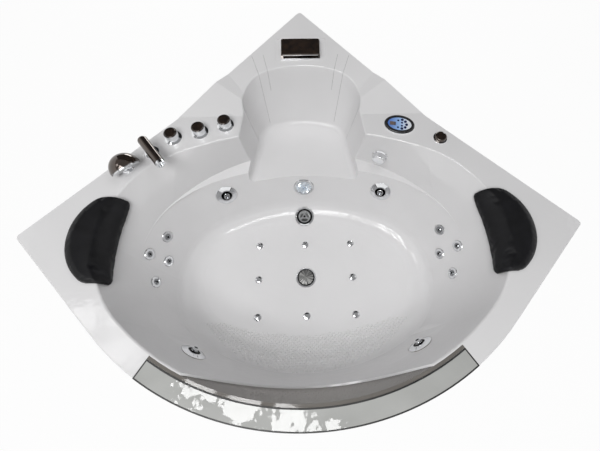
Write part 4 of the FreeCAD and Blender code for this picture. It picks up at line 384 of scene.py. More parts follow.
def tree_with_inputs(name, inputs):
    tree = bpy.data.node_groups.new(name, "GeometryNodeTree")
    for label, kind in inputs:
        tree.interface.new_socket(label, in_out="INPUT", socket_type=kind)
    tree.interface.new_socket("Geometry", in_out="OUTPUT", socket_type="NodeSocketGeometry")
    return tree, tree.nodes.new("NodeGroupInput"), tree.nodes.new("NodeGroupOutput")


def ray_down(tree, tub_geometry):
    ray = tree.nodes.new("GeometryNodeRaycast")
    ray.inputs["Ray Direction"].default_value = (0.0, 0.0, -1.0)
    ray.inputs["Ray Length"].default_value = 1.0
    tree.links.new(tub_geometry, ray.inputs["Target Geometry"])
    return ray


def remember(tree, geometry, name, value):
    store = tree.nodes.new("GeometryNodeStoreNamedAttribute")
    store.data_type = "FLOAT_VECTOR"
    store.domain = "POINT"
    store.inputs["Name"].default_value = name
    tree.links.new(geometry, store.inputs["Geometry"])
    tree.links.new(value, store.inputs["Value"])
    return store.outputs["Geometry"]


def recall(tree, name):
    read = tree.nodes.new("GeometryNodeInputNamedAttribute")
    read.data_type = "FLOAT_VECTOR"
    read.inputs["Name"].default_value = name
    return read.outputs["Attribute"]


def oval_reach(tree, point, half_sizes):
    split = tree.nodes.new("ShaderNodeSeparateXYZ")
    tree.links.new(point, split.inputs["Vector"])
    across = tree_math(tree, "DIVIDE", split.outputs["X"], half_sizes[0])
    offset = tree_math(tree, "SUBTRACT", split.outputs["Y"], DOT_OVAL_CENTRE_Y)
    along = tree_math(tree, "DIVIDE", offset, half_sizes[1])
    return tree_math(tree, "ADD", tree_math(tree, "POWER", across, 2.0), tree_math(tree, "POWER", along, 2.0))


def dots_tree():
    tree, given, result = tree_with_inputs("grip_dots", (
        ("Tub", "NodeSocketObject"), ("Columns", "NodeSocketInt"), ("Rows", "NodeSocketInt"),
        ("Spacing", "NodeSocketFloat"), ("Radius", "NodeSocketFloat"), ("Flatness", "NodeSocketFloat"),
        ("Finish", "NodeSocketMaterial")))
    tub = tree.nodes.new("GeometryNodeObjectInfo")
    tree.links.new(given.outputs["Tub"], tub.inputs["Object"])
    grid = tree.nodes.new("GeometryNodeMeshGrid")
    tree.links.new(given.outputs["Columns"], grid.inputs["Vertices X"])
    tree.links.new(given.outputs["Rows"], grid.inputs["Vertices Y"])
    grid.inputs["Size X"].default_value = DOT_FIELD[0]
    grid.inputs["Size Y"].default_value = DOT_FIELD[1]
    index = tree.nodes.new("GeometryNodeInputIndex")
    row = tree_math(tree, "MODULO", index.outputs["Index"], given.outputs["Rows"])
    odd = tree_math(tree, "MODULO", row, 2.0)
    half_step = tree_math(tree, "MULTIPLY", given.outputs["Spacing"], 0.5)
    shift = tree.nodes.new("ShaderNodeCombineXYZ")
    tree.links.new(tree_math(tree, "MULTIPLY", odd, half_step), shift.inputs["X"])
    shift.inputs["Y"].default_value = DOT_FIELD_FRONT + DOT_FIELD[1] / 2
    shift.inputs["Z"].default_value = DOT_RAY_HEIGHT
    spaced = tree.nodes.new("GeometryNodeSetPosition")
    tree.links.new(grid.outputs["Mesh"], spaced.inputs["Geometry"])
    tree.links.new(shift.outputs["Vector"], spaced.inputs["Offset"])
    ray = ray_down(tree, tub.outputs["Geometry"])
    seated = remember(tree, spaced.outputs["Geometry"], "seat", ray.outputs["Hit Position"])
    leaned = remember(tree, seated, "lean", ray.outputs["Hit Normal"])
    outer = tree_math(tree, "GREATER_THAN", oval_reach(tree, recall(tree, "seat"), DOT_OVAL_OUTER), 1.0)
    inner = tree_math(tree, "LESS_THAN", oval_reach(tree, recall(tree, "seat"), DOT_OVAL_INNER), 1.0)
    trim = tree.nodes.new("GeometryNodeDeleteGeometry")
    tree.links.new(leaned, trim.inputs["Geometry"])
    tree.links.new(tree_math(tree, "MAXIMUM", outer, inner), trim.inputs["Selection"])
    lower = tree.nodes.new("GeometryNodeSetPosition")
    tree.links.new(trim.outputs["Geometry"], lower.inputs["Geometry"])
    tree.links.new(recall(tree, "seat"), lower.inputs["Position"])
    pimple = tree.nodes.new("GeometryNodeMeshUVSphere")
    pimple.inputs["Segments"].default_value = DOT_SEGMENTS
    pimple.inputs["Rings"].default_value = DOT_RINGS
    tree.links.new(given.outputs["Radius"], pimple.inputs["Radius"])
    lean = tree.nodes.new("FunctionNodeAlignRotationToVector")
    lean.axis = "Z"
    tree.links.new(recall(tree, "lean"), lean.inputs["Vector"])
    flat = tree.nodes.new("ShaderNodeCombineXYZ")
    flat.inputs["X"].default_value = 1.0
    flat.inputs["Y"].default_value = 1.0
    tree.links.new(given.outputs["Flatness"], flat.inputs["Z"])
    copies = tree.nodes.new("GeometryNodeInstanceOnPoints")
    tree.links.new(lower.outputs["Geometry"], copies.inputs["Points"])
    tree.links.new(pimple.outputs["Mesh"], copies.inputs["Instance"])
    tree.links.new(lean.outputs["Rotation"], copies.inputs["Rotation"])
    tree.links.new(flat.outputs["Vector"], copies.inputs["Scale"])
    finish_tree(tree, copies.outputs["Instances"], given.outputs["Finish"], result)
    return tree


def finish_tree(tree, geometry, finish, result):
    real = tree.nodes.new("GeometryNodeRealizeInstances")
    smooth = tree.nodes.new("GeometryNodeSetShadeSmooth")
    paint = tree.nodes.new("GeometryNodeSetMaterial")
    tree.links.new(geometry, real.inputs["Geometry"])
    tree.links.new(real.outputs["Geometry"], smooth.inputs["Geometry"])
    tree.links.new(smooth.outputs["Geometry"], paint.inputs["Geometry"])
    tree.links.new(finish, paint.inputs["Material"])
    tree.links.new(paint.outputs["Geometry"], result.inputs["Geometry"])


def piece_from_tree(name, tree, body, slot, **sizes):
    piece = put_in_scene(bpy.data.objects.new(name, bpy.data.meshes.new(name)))
    modifier = piece.modifiers.new(name, "NODES")
    modifier.node_group = tree
    sockets = {item.name: item.identifier for item in tree.interface.items_tree if item.in_out == "INPUT"}
    for label, value in sizes.items():
        modifier[sockets[label]] = value
    bpy.context.view_layer.update()
    made = bpy.data.meshes.new_from_object(piece.evaluated_get(bpy.context.evaluated_depsgraph_get()))
    piece.modifiers.remove(modifier)
    piece.data = made
    made.name = name
    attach(piece, body)
    return piece


dot_columns = int(DOT_FIELD[0] / DOT_SPACING) + 1
dot_rows = int(DOT_FIELD[1] / DOT_SPACING * 2) + 1
piece_from_tree("grip_dots", dots_tree(), "bath", "acrylic", Tub=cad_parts["tub_shell"],
                Columns=dot_columns, Rows=dot_rows, Spacing=DOT_SPACING, Radius=DOT_RADIUS,
                Flatness=DOT_HEIGHT / DOT_RADIUS, Finish=white_acrylic)

# Backrest flutes
# Two pairs of fine moulded creases that run down from the corner deck over the edge of the seat niche and
# along its back wall, where they mark out the sides of the backrest. Each is drawn as a thin bead of acrylic
# painted grey, as painted shade in the crease.
FLUTE_BEAD = 0.0009
FLUTE_STEPS = 90
FLUTE_SIDES = 8
FLUTE_SHADE_GREY = (0.56, 0.56, 0.56)
FLUTE_SHADE_GREY_DEEP = (0.48, 0.48, 0.48)
FLUTE_LINES = (
    ("outer", Vector((0.206, 0.577, 0.9)), Vector((0.151, 0.418, 0.9))),
    ("inner", Vector((0.159, 0.584, 0.9)), Vector((0.133, 0.480, 0.9))),
)


def flute_tree():
    tree, given, result = tree_with_inputs("backrest_flute", (
        ("Tub", "NodeSocketObject"), ("Start", "NodeSocketVector"), ("End", "NodeSocketVector"),
        ("Bead", "NodeSocketFloat"), ("Finish", "NodeSocketMaterial")))
    tub = tree.nodes.new("GeometryNodeObjectInfo")
    tree.links.new(given.outputs["Tub"], tub.inputs["Object"])
    course = tree.nodes.new("GeometryNodeMeshLine")
    course.mode = "END_POINTS"
    course.inputs["Count"].default_value = FLUTE_STEPS
    tree.links.new(given.outputs["Start"], course.inputs["Start Location"])
    tree.links.new(given.outputs["End"], course.inputs["Offset"])
    ray = ray_down(tree, tub.outputs["Geometry"])
    laid = tree.nodes.new("GeometryNodeSetPosition")
    tree.links.new(course.outputs["Mesh"], laid.inputs["Geometry"])
    tree.links.new(ray.outputs["Hit Position"], laid.inputs["Position"])
    path = tree.nodes.new("GeometryNodeMeshToCurve")
    tree.links.new(laid.outputs["Geometry"], path.inputs["Mesh"])
    ring = tree.nodes.new("GeometryNodeCurvePrimitiveCircle")
    ring.inputs["Resolution"].default_value = FLUTE_SIDES
    tree.links.new(given.outputs["Bead"], ring.inputs["Radius"])
    bead = tree.nodes.new("GeometryNodeCurveToMesh")
    bead.inputs["Fill Caps"].default_value = True
    tree.links.new(path.outputs["Curve"], bead.inputs["Curve"])
    tree.links.new(ring.outputs["Curve"], bead.inputs["Profile Curve"])
    finish_tree(tree, bead.outputs["Mesh"], given.outputs["Finish"], result)
    return tree


# Painted shade: the bead is grey where the white acrylic of the crease lies in shade.
flute_shade_acrylic = make_finish("crease_shade_acrylic", FLUTE_SHADE_GREY, 0.2)
blend_colours(flute_shade_acrylic, clouds(flute_shade_acrylic, 30.0), FLUTE_SHADE_GREY_DEEP, FLUTE_SHADE_GREY)
flutes = flute_tree()
for side_name, side in (("left", -1.0), ("right", 1.0)):
    for line_name, line_start, line_end in FLUTE_LINES:
        turned_start = Vector((side * line_start.x, line_start.y, line_start.z))
        turned_end = Vector((side * line_end.x, line_end.y, line_end.z))
        piece_from_tree("flute_%s_%s" % (line_name, side_name), flutes, "bath", "acrylic",
                        Tub=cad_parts["tub_shell"], Start=turned_start, End=turned_end,
                        Bead=FLUTE_BEAD, Finish=flute_shade_acrylic)

# Window pane
# A bent pane of brown-grey tinted glass, let into a slot behind the front wall. The wall is cut away before
# it in a long lens shape, and its top edge shows as a strip along the rim.
PANE_TINT = (0.25, 0.23, 0.21)
PANE_TINT_PALE = (0.31, 0.29, 0.265)
PANE_CLEARNESS = 0.45
PANE_IOR = 1.5
tinted_pane = make_finish("brown_grey_glass", PANE_TINT, 0.04)
shader_of(tinted_pane).inputs["Transmission Weight"].default_value = PANE_CLEARNESS
shader_of(tinted_pane).inputs["IOR"].default_value = PANE_IOR
blend_colours(tinted_pane, clouds(tinted_pane, 3.0), PANE_TINT, PANE_TINT_PALE)
vary_gloss(tinted_pane, clouds(tinted_pane, 8.0), 0.03, 0.07)
dress(tinted_pane, "window_pane")

# Rim cap plate and its seal
# A curved plate of grey glass that lies flush in the front rim, bedded in a dark rubber frame.
CAP_GREY = (0.44, 0.445, 0.43)
CAP_GREY_PALE = (0.54, 0.545, 0.53)
CAP_IOR = 1.52
SEAL_BLACK = (0.012, 0.012, 0.012)
SEAL_GREY = (0.03, 0.03, 0.03)
cap_glass = make_finish("grey_cap_glass", CAP_GREY, 0.03)
shader_of(cap_glass).inputs["IOR"].default_value = CAP_IOR
blend_colours(cap_glass, clouds(cap_glass, 2.6, stretch=(1.0, 0.5, 1.0)), CAP_GREY, CAP_GREY_PALE)
vary_gloss(cap_glass, clouds(cap_glass, 12.0), 0.02, 0.06)
emboss(cap_glass, clouds(cap_glass, 14.0, detail=2.0), 0.0022)
dress(cap_glass, "rim_cap_plate")
seal_rubber = make_finish("black_seal_rubber", SEAL_BLACK, 0.45)
blend_colours(seal_rubber, clouds(seal_rubber, 50.0), SEAL_BLACK, SEAL_GREY)
emboss(seal_rubber, clouds(seal_rubber, 900.0), 0.0001)
dress(seal_rubber, "cap_seal")

# Front apron
# One sheet of white acrylic bent round the front, behind the lip, with a long window before the glass pane.
APRON_WHITE = (0.78, 0.78, 0.785)
APRON_WHITE_DEEP = (0.75, 0.75, 0.755)
apron_acrylic = make_finish("apron_acrylic", APRON_WHITE, 0.14)
blend_colours(apron_acrylic, clouds(apron_acrylic, 3.0), APRON_WHITE_DEEP, APRON_WHITE)
vary_gloss(apron_acrylic, clouds(apron_acrylic, 7.0, detail=5.0), 0.1, 0.18)
emboss(apron_acrylic, clouds(apron_acrylic, 30.0, detail=1.0), 0.0002)
dress(apron_acrylic, "front_apron")

# Large water jets
# Four chrome rings screwed into the walls from inside, each with a chrome ball nozzle that swivels in the
# ring's throat, on a white plastic body behind the wall that takes the water and air pipes. The throat and
# the ball outside its tip are painted black, as painted shade in the recess.
CHROME_BRIGHT = (0.80, 0.81, 0.82)
CHROME_SMOKY = (0.72, 0.73, 0.75)
PIPE_WHITE = (0.66, 0.67, 0.68)
PIPE_WHITE_DULL = (0.58, 0.59, 0.59)
# Black painted into holes, throats and gaps as painted shade.
HOLE_SHADE_BLACK = (0.004, 0.004, 0.0045)
JET_NAMES = ("back_left", "back_right", "front_left", "front_right")
JET_AXES = (
    (Vector((-0.344133, 0.069732, 0.346794)), Vector((0.317482, -0.84676, 0.426853))),
    (Vector((0.344133, 0.069732, 0.346794)), Vector((-0.317482, -0.84676, 0.426853))),
    (Vector((-0.403089, -0.575187, 0.403043)), Vector((0.497393, 0.84559, 0.193849))),
    (Vector((0.403089, -0.575187, 0.403043)), Vector((-0.497393, 0.84559, 0.193849))),
)
JET_THROAT = 0.0235
JET_TIP = 0.0122


def reckon(finish, operation, *values):
    return tree_math(finish.node_tree, operation, *values)


def from_point(finish, point):
    place = finish.node_tree.nodes.new("ShaderNodeTexCoord")
    arm = finish.node_tree.nodes.new("ShaderNodeVectorMath")
    arm.operation = "SUBTRACT"
    arm.inputs[1].default_value = point
    finish.node_tree.links.new(place.outputs["Object"], arm.inputs[0])
    return arm.outputs["Vector"]


def off_axis(finish, point, axis):
    turn = finish.node_tree.nodes.new("ShaderNodeVectorMath")
    turn.operation = "CROSS_PRODUCT"
    turn.inputs[1].default_value = axis
    finish.node_tree.links.new(from_point(finish, point), turn.inputs[0])
    return length_of(finish, turn.outputs["Vector"])


def length_of(finish, vector):
    length = finish.node_tree.nodes.new("ShaderNodeVectorMath")
    length.operation = "LENGTH"
    finish.node_tree.links.new(vector, length.inputs[0])
    return length.outputs["Value"]


def nearest(finish, distances):
    least = distances[0]
    for distance in distances[1:]:
        least = reckon(finish, "MINIMUM", least, distance)
    return least


def stain(finish, mask, colour):
    tint = finish.node_tree.nodes.new("ShaderNodeRGB")
    tint.outputs["Color"].default_value = (*colour, 1.0)
    plain = shader_of(finish).inputs["Base Color"].links[0].from_socket
    choose(finish, mask, "RGBA", plain, tint.outputs["Color"], "Base Color")


def chrome_finish(name):
    finish = make_finish(name, CHROME_BRIGHT, 0.06, metal=1.0)
    blend_colours(finish, clouds(finish, 45.0), CHROME_SMOKY, CHROME_BRIGHT)
    vary_gloss(finish, clouds(finish, 120.0, detail=5.0), 0.03, 0.1)
    return finish


chrome = chrome_finish("polished_chrome")
ring_chrome = chrome_finish("jet_ring_chrome")
ring_reach = nearest(ring_chrome, [off_axis(ring_chrome, *axis) for axis in JET_AXES])
# Painted shade: the chrome ring is painted black inside its throat.
stain(ring_chrome, reckon(ring_chrome, "LESS_THAN", ring_reach, JET_THROAT), HOLE_SHADE_BLACK)
dress(ring_chrome, "jet_rings")
ball_chrome = chrome_finish("jet_ball_chrome")
ball_reach = nearest(ball_chrome, [off_axis(ball_chrome, *axis) for axis in JET_AXES])
# Painted shade: the chrome ball is painted black outside its tip, where it sits down in the throat.
stain(ball_chrome, reckon(ball_chrome, "GREATER_THAN", ball_reach, JET_TIP), HOLE_SHADE_BLACK)
dress(ball_chrome, *["jet_nozzle_" + jet for jet in JET_NAMES])
pipe_plastic = make_finish("white_pipe_plastic", PIPE_WHITE, 0.35)
blend_colours(pipe_plastic, clouds(pipe_plastic, 12.0, detail=5.0), PIPE_WHITE_DULL, PIPE_WHITE)
vary_gloss(pipe_plastic, clouds(pipe_plastic, 25.0), 0.28, 0.45)
emboss(pipe_plastic, clouds(pipe_plastic, 400.0), 0.0001)
dress(pipe_plastic, "jet_bodies")

# Back jets and floor air jets
# Eight small chrome-ringed back jets in moulded seats below the pillows, with barbs for thin hoses behind,
# and eight domed chrome air buttons in the floor, on the air pipe from the blower.
BACK_JET_POINTS = ((0.575672, -0.122357, 0.352843), (0.619227, -0.20773, 0.391374),
                   (0.576853, -0.214735, 0.304549), (0.596889, -0.310231, 0.348605))
BACK_JET_HOLE = 0.0082
BACK_JET_DISC = 0.0135
DISC_SHADE_GREY = (0.30, 0.31, 0.32)
back_chrome = chrome_finish("back_jet_chrome")
back_reaches = []
for across, along, up in BACK_JET_POINTS:
    for side in (-1.0, 1.0):
        back_reaches.append(length_of(back_chrome, from_point(back_chrome, (side * across, along, up))))
back_reach = nearest(back_chrome, back_reaches)
# Painted shade: the chrome is painted grey on a disc round each jet's hole and black in the hole.
stain(back_chrome, reckon(back_chrome, "LESS_THAN", back_reach, BACK_JET_DISC), DISC_SHADE_GREY)
stain(back_chrome, reckon(back_chrome, "LESS_THAN", back_reach, BACK_JET_HOLE), HOLE_SHADE_BLACK)
dress(back_chrome, "back_jets")
dress(chrome, "floor_air_jets")

# Pipework
# Rigid white plastic water and air pipes glued into a ring under the rim, with the waste and suction runs.
dress(pipe_plastic, "water_pipe", "air_pipe", "suction_pipe", "waste_pipe", "overflow_box")

# Pump, blower and control box
# The jet pump stands under the seat: a black plastic wet end on a finned cast motor. A grey plastic
# blower and a grey control box are fixed to the frame beside it.
MOTOR_GREY = (0.20, 0.21, 0.225)
MOTOR_GREY_LIGHT = (0.28, 0.29, 0.30)
BLACK_MOULDED = (0.016, 0.016, 0.017)
BLACK_SCUFFED = (0.035, 0.035, 0.036)
BOX_GREY = (0.45, 0.46, 0.47)
BOX_GREY_DULL = (0.38, 0.39, 0.40)
motor_cast = make_finish("cast_motor_grey", MOTOR_GREY, 0.45, metal=0.6)
blend_colours(motor_cast, clouds(motor_cast, 25.0, detail=6.0), MOTOR_GREY, MOTOR_GREY_LIGHT)
emboss(motor_cast, clouds(motor_cast, 600.0, detail=4.0), 0.0003)
dress(motor_cast, "pump_motor")
black_plastic = make_finish("black_moulded_plastic", BLACK_MOULDED, 0.35)
blend_colours(black_plastic, clouds(black_plastic, 60.0, detail=5.0), BLACK_MOULDED, BLACK_SCUFFED)
vary_gloss(black_plastic, clouds(black_plastic, 90.0), 0.25, 0.42)
emboss(black_plastic, clouds(black_plastic, 1200.0), 0.00006)
dress(black_plastic, "pump_wet_end", "deck_nuts")
box_plastic = make_finish("grey_box_plastic", BOX_GREY, 0.5)
blend_colours(box_plastic, clouds(box_plastic, 14.0, detail=5.0), BOX_GREY_DULL, BOX_GREY)
emboss(box_plastic, cells(box_plastic, 800.0), 0.00015)
dress(box_plastic, "air_blower", "control_box")

# Suction cover
# A round chrome grating where the floor meets the seat front. The pump draws the water in through the slot
# round its dished middle, under three spokes. The chrome is painted black deep in the slot and at the middle
# of the dish, as painted shade.
SUCTION_POINT = Vector((0.0, 0.020943, 0.187881))
SUCTION_AXIS = Vector((0.0, -0.261478, 0.96521))
SUCTION_SLOT = (0.0286, 0.0374)
SUCTION_SLOT_DEPTH = 0.0065
SUCTION_DOT = 0.0052
cover_chrome = chrome_finish("suction_chrome")
cover_reach = off_axis(cover_chrome, SUCTION_POINT, SUCTION_AXIS)
cover_rise = cover_chrome.node_tree.nodes.new("ShaderNodeVectorMath")
cover_rise.operation = "DOT_PRODUCT"
cover_rise.inputs[1].default_value = SUCTION_AXIS
cover_chrome.node_tree.links.new(from_point(cover_chrome, SUCTION_POINT), cover_rise.inputs[0])
in_slot = reckon(cover_chrome, "MULTIPLY", reckon(cover_chrome, "GREATER_THAN", cover_reach, SUCTION_SLOT[0]),
                 reckon(cover_chrome, "LESS_THAN", cover_reach, SUCTION_SLOT[1]))
deep = reckon(cover_chrome, "LESS_THAN", cover_rise.outputs["Value"], SUCTION_SLOT_DEPTH)
# Painted shade: black deep down in the slot and on a dot at the middle of the dish.
stain(cover_chrome, reckon(cover_chrome, "MULTIPLY", in_slot, deep), HOLE_SHADE_BLACK)
stain(cover_chrome, reckon(cover_chrome, "LESS_THAN", cover_reach, SUCTION_DOT), HOLE_SHADE_BLACK)
dress(cover_chrome, "suction_cover")

# Underwater lamp
# A cut-glass lens in a chrome housing in the seat front. Rings of small flat facets scatter the light
# of the bulb behind it into the water.
LENS_CLEAR = (0.86, 0.89, 0.92)
LENS_COOL = (0.70, 0.77, 0.84)
LAMP_POINT = Vector((0.0, 0.117857, 0.31302))
LAMP_AXIS = Vector((0.0, -0.921174, 0.38915))
LENS_RADIUS = 0.0357
LENS_FOOT = -0.005
LENS_EDGE = 0.0052
LENS_CROWN = 0.0052
LENS_CUT = 0.0034
LENS_RINGS = 7
LENS_SIDES = 28
LENS_METAL = 0.75


def add_cut_lens(bm):
    turn = LAMP_AXIS.to_track_quat("Z", "Y")

    def spot(radius, angle, height):
        offset = Vector((radius * math.cos(angle), radius * math.sin(angle), height))
        return bm.verts.new(LAMP_POINT + turn @ offset)

    rows = [[spot(LENS_RADIUS, 2 * math.pi * j / LENS_SIDES, LENS_FOOT) for j in range(LENS_SIDES)]]
    for i in range(LENS_RINGS):
        share = 1.0 - i / LENS_RINGS
        row = []
        for j in range(LENS_SIDES):
            angle = 2 * math.pi * (j + 0.5 * (i % 2)) / LENS_SIDES
            cut = LENS_CUT * ((i + j) % 2) if i else 0.0
            row.append(spot(LENS_RADIUS * share, angle, LENS_EDGE + LENS_CROWN * (1.0 - share * share) - cut))
        rows.append(row)
    top = spot(0.0, 0.0, LENS_EDGE + LENS_CROWN)
    for low, high in zip(rows, rows[1:]):
        for j in range(LENS_SIDES):
            k = (j + 1) % LENS_SIDES
            bm.faces.new((low[j], low[k], high[j]))
            bm.faces.new((low[k], high[k], high[j]))
    for j in range(LENS_SIDES):
        bm.faces.new((rows[-1][j], rows[-1][(j + 1) % LENS_SIDES], top))
    bm.faces.new(list(reversed(rows[0])))


def piece_from_bmesh(name, bm, finish, body, smooth=True):
    mesh = bpy.data.meshes.new(name)
    bm.to_mesh(mesh)
    bm.free()
    for polygon in mesh.polygons:
        polygon.use_smooth = smooth
    mesh.materials.append(finish)
    piece = put_in_scene(bpy.data.objects.new(name, mesh))
    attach(piece, body)
    return piece


dress(chrome, "light_housing")
lamp_lens = make_finish("clear_lamp_lens", LENS_CLEAR, 0.05)
shader_of(lamp_lens).inputs["Metallic"].default_value = LENS_METAL
blend_colours(lamp_lens, cells(lamp_lens, 160.0), LENS_COOL, LENS_CLEAR)
vary_gloss(lamp_lens, clouds(lamp_lens, 90.0), 0.03, 0.09)
dress(lamp_lens, "light_lens")
lens_cut = bmesh.new()
add_cut_lens(lens_cut)
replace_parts(piece_from_bmesh("cut_lens", lens_cut, lamp_lens, "bath", smooth=False), "light_lens")

# Drain
# A chrome flange screwed to the waste through the floor, with a well and a plug brushed from the middle
# outwards that lifts in it. The flange is painted black inside the well, as painted shade in the gap round
# the plug.
DRAIN_LOW, DRAIN_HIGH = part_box("drain_plug")
DRAIN_CENTRE = (DRAIN_LOW + DRAIN_HIGH) / 2
DRAIN_WELL = 0.0382
STEEL_BRUSHED = (0.72, 0.72, 0.70)
STEEL_BRUSHED_DARK = (0.22, 0.22, 0.22)
BRUSH_SCALE = 3.2
BRUSH_DETAIL = 5.0


def brushed_steel():
    finish = make_finish("brushed_plug_steel", STEEL_BRUSHED, 0.22, metal=1.0)
    level = finish.node_tree.nodes.new("ShaderNodeVectorMath")
    level.operation = "MULTIPLY"
    level.inputs[1].default_value = (1.0, 1.0, 0.0)
    ray = finish.node_tree.nodes.new("ShaderNodeVectorMath")
    ray.operation = "NORMALIZE"
    brush = finish.node_tree.nodes.new("ShaderNodeTexNoise")
    brush.inputs["Scale"].default_value = BRUSH_SCALE
    brush.inputs["Detail"].default_value = BRUSH_DETAIL
    finish.node_tree.links.new(from_point(finish, DRAIN_CENTRE), level.inputs[0])
    finish.node_tree.links.new(level.outputs["Vector"], ray.inputs[0])
    finish.node_tree.links.new(ray.outputs["Vector"], brush.inputs["Vector"])
    blend_colours(finish, brush.outputs["Fac"], STEEL_BRUSHED_DARK, STEEL_BRUSHED, 0.38, 0.62)
    vary_gloss(finish, brush.outputs["Fac"], 0.16, 0.34)
    return finish


well_chrome = chrome_finish("drain_chrome")
well_reach = off_axis(well_chrome, DRAIN_CENTRE, (0.0, 0.0, 1.0))
# Painted shade: the flange is painted black inside the well, where the gap round the plug lies in shade.
stain(well_chrome, reckon(well_chrome, "LESS_THAN", well_reach, DRAIN_WELL), HOLE_SHADE_BLACK)
dress(well_chrome, "drain_flange")
dress(brushed_steel(), "drain_plug")

# Overflow
# A chrome rose on the wall below the panel, with a round knob that turns to lift the plug by a cable.
dress(chrome, "overflow_rose", "overflow_knob")

# Tap knobs and valves
# Three chrome barrels on flanges in the left deck, for hot, cold and the diverter, each capped with a dark
# mirror disc with a pointer groove. Brass valves hang below the deck.
MIRROR_BROWN = (0.030, 0.020, 0.015)
MIRROR_BLACK = (0.014, 0.011, 0.010)
MIRROR_SHEEN = (1.0, 0.88, 0.80, 1.0)
BRASS_PLAIN = (0.55, 0.40, 0.19)
BRASS_DULL = (0.42, 0.30, 0.14)
MIRROR_IOR = 1.9


def dark_mirror_finish(name, streak_turn=0.0, streaks=(1, 1, 1)):
    finish = make_finish(name, MIRROR_BLACK, 0.06)
    shader_of(finish).inputs["IOR"].default_value = MIRROR_IOR
    shader_of(finish).inputs["Specular Tint"].default_value = MIRROR_SHEEN
    streak = clouds(finish, 55.0, detail=2.0, stretch=streaks, turn=(0.0, 0.0, streak_turn))
    blend_colours(finish, streak, MIRROR_BLACK, MIRROR_BROWN)
    vary_gloss(finish, clouds(finish, 150.0), 0.03, 0.09)
    return finish


dark_mirror = dark_mirror_finish("dark_mirror")
KNOBS = ("diverter_knob", "cold_knob", "hot_knob")
dress(chrome, "knob_flanges", *KNOBS)
dress(dark_mirror, *[knob + "_cap" for knob in KNOBS])
valve_brass = make_finish("plain_brass", BRASS_PLAIN, 0.3, metal=1.0)
blend_colours(valve_brass, clouds(valve_brass, 60.0, detail=5.0), BRASS_DULL, BRASS_PLAIN)
vary_gloss(valve_brass, clouds(valve_brass, 80.0), 0.22, 0.42)
dress(valve_brass, "valve_bodies")

# Bath spout
# A dark mirror bar across a chrome post, tipped with a chrome collar and a black outlet that pours over
# the rim.
SPOUT_TURN = math.radians(-51.9)
SPOUT_STREAKS = (8.0, 0.35, 1.0)
dress(dark_mirror_finish("dark_mirror_bar", SPOUT_TURN, SPOUT_STREAKS), "bath_spout")
dress(chrome, "spout_post", "spout_outlet")

# Hand shower
# A dark mirror dome with a chrome spray face towards the basin; it lifts out of a chrome socket.
dress(dark_mirror, "shower_head")
dress(chrome, "shower_face", "shower_socket")

# Waterfall spout
# A dark mirror hood over a chrome body on the corner deck; the water leaves through the slot in its front,
# under a bright chrome lip.
WATERFALL_PLACE = Vector((0.0, 0.607923, 0.63833))
WATERFALL_TILT = math.radians(9.709)
LIP_LOW = Vector((-0.074, -0.0408, 0.0141))
LIP_HIGH = Vector((0.074, -0.0396, 0.0166))
LIP_BEVEL = 0.0004
dress(dark_mirror, "waterfall_hood")
dress(chrome, "waterfall_body")
lip = bmesh.new()
lip_size = LIP_HIGH - LIP_LOW
lip_shape = Matrix.Translation((LIP_LOW + LIP_HIGH) / 2) @ Matrix.Diagonal((*lip_size, 1.0))
lip_turn = Matrix.Translation(WATERFALL_PLACE) @ Matrix.Rotation(WATERFALL_TILT, 4, "X")
bmesh.ops.create_cube(lip, size=1.0, matrix=lip_turn @ lip_shape)
bmesh.ops.bevel(lip, geom=lip.edges[:], offset=LIP_BEVEL, segments=2, affect="EDGES")
piece_from_bmesh("waterfall_lip", lip, chrome, "bath")

# Control panel
# An oval black bezel with a face printed from blue to white, a brown display, five push buttons in an arc
# and four small lamps beside and inside it.
PANEL_LOW, PANEL_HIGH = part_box("panel_face")
PANEL_CENTRE = (PANEL_LOW + PANEL_HIGH) / 2
PANEL_TURN = math.radians(-10.0)
PANEL_HALF_LENGTH = 0.0477
FACE_BLUE = (0.10, 0.22, 0.62)
FACE_SKY = (0.36, 0.55, 0.88)
FACE_WHITE = (0.80, 0.84, 0.90)
DISPLAY_BROWN = (0.20, 0.145, 0.115)
DISPLAY_GREY = (0.12, 0.11, 0.13)
BUTTON_NAVY = (0.010, 0.014, 0.06)
BUTTON_BLUE = (0.018, 0.028, 0.11)
LAMP_SPOTS = ((-0.006, 0.017), (-0.006, -0.017), (0.0095, 0.0075), (0.0095, -0.0075))
LAMP_RADIUS = 0.0044
LAMP_HEIGHT = 0.0005
BEZEL_CHROME_TOP = 0.5885


def panel_print():
    finish = make_finish("blue_panel_print", FACE_SKY, 0.18)
    split = finish.node_tree.nodes.new("ShaderNodeSeparateXYZ")
    coordinates = own_coordinates(finish, centre=PANEL_CENTRE, turn=(0.0, 0.0, PANEL_TURN))
    finish.node_tree.links.new(coordinates, split.inputs["Vector"])
    run = finish.node_tree.nodes.new("ShaderNodeMapRange")
    run.inputs["From Min"].default_value = -PANEL_HALF_LENGTH
    run.inputs["From Max"].default_value = PANEL_HALF_LENGTH
    finish.node_tree.links.new(split.outputs["X"], run.inputs["Value"])
    blend_colours(finish, run.outputs["Result"], FACE_BLUE, FACE_WHITE, 0.05, 0.86)
    ramp = [n for n in finish.node_tree.nodes if n.bl_idname == "ShaderNodeValToRGB"][0]
    middle = ramp.color_ramp.elements.new(0.5)
    middle.color = (*FACE_SKY, 1.0)
    vary_gloss(finish, clouds(finish, 60.0), 0.12, 0.24)
    return finish


def panel_spot(along, across, height):
    turn = Matrix.Rotation(PANEL_TURN, 4, "Z")
    return Vector((PANEL_CENTRE.x, PANEL_CENTRE.y, height)) + turn @ Vector((along, across, 0.0))


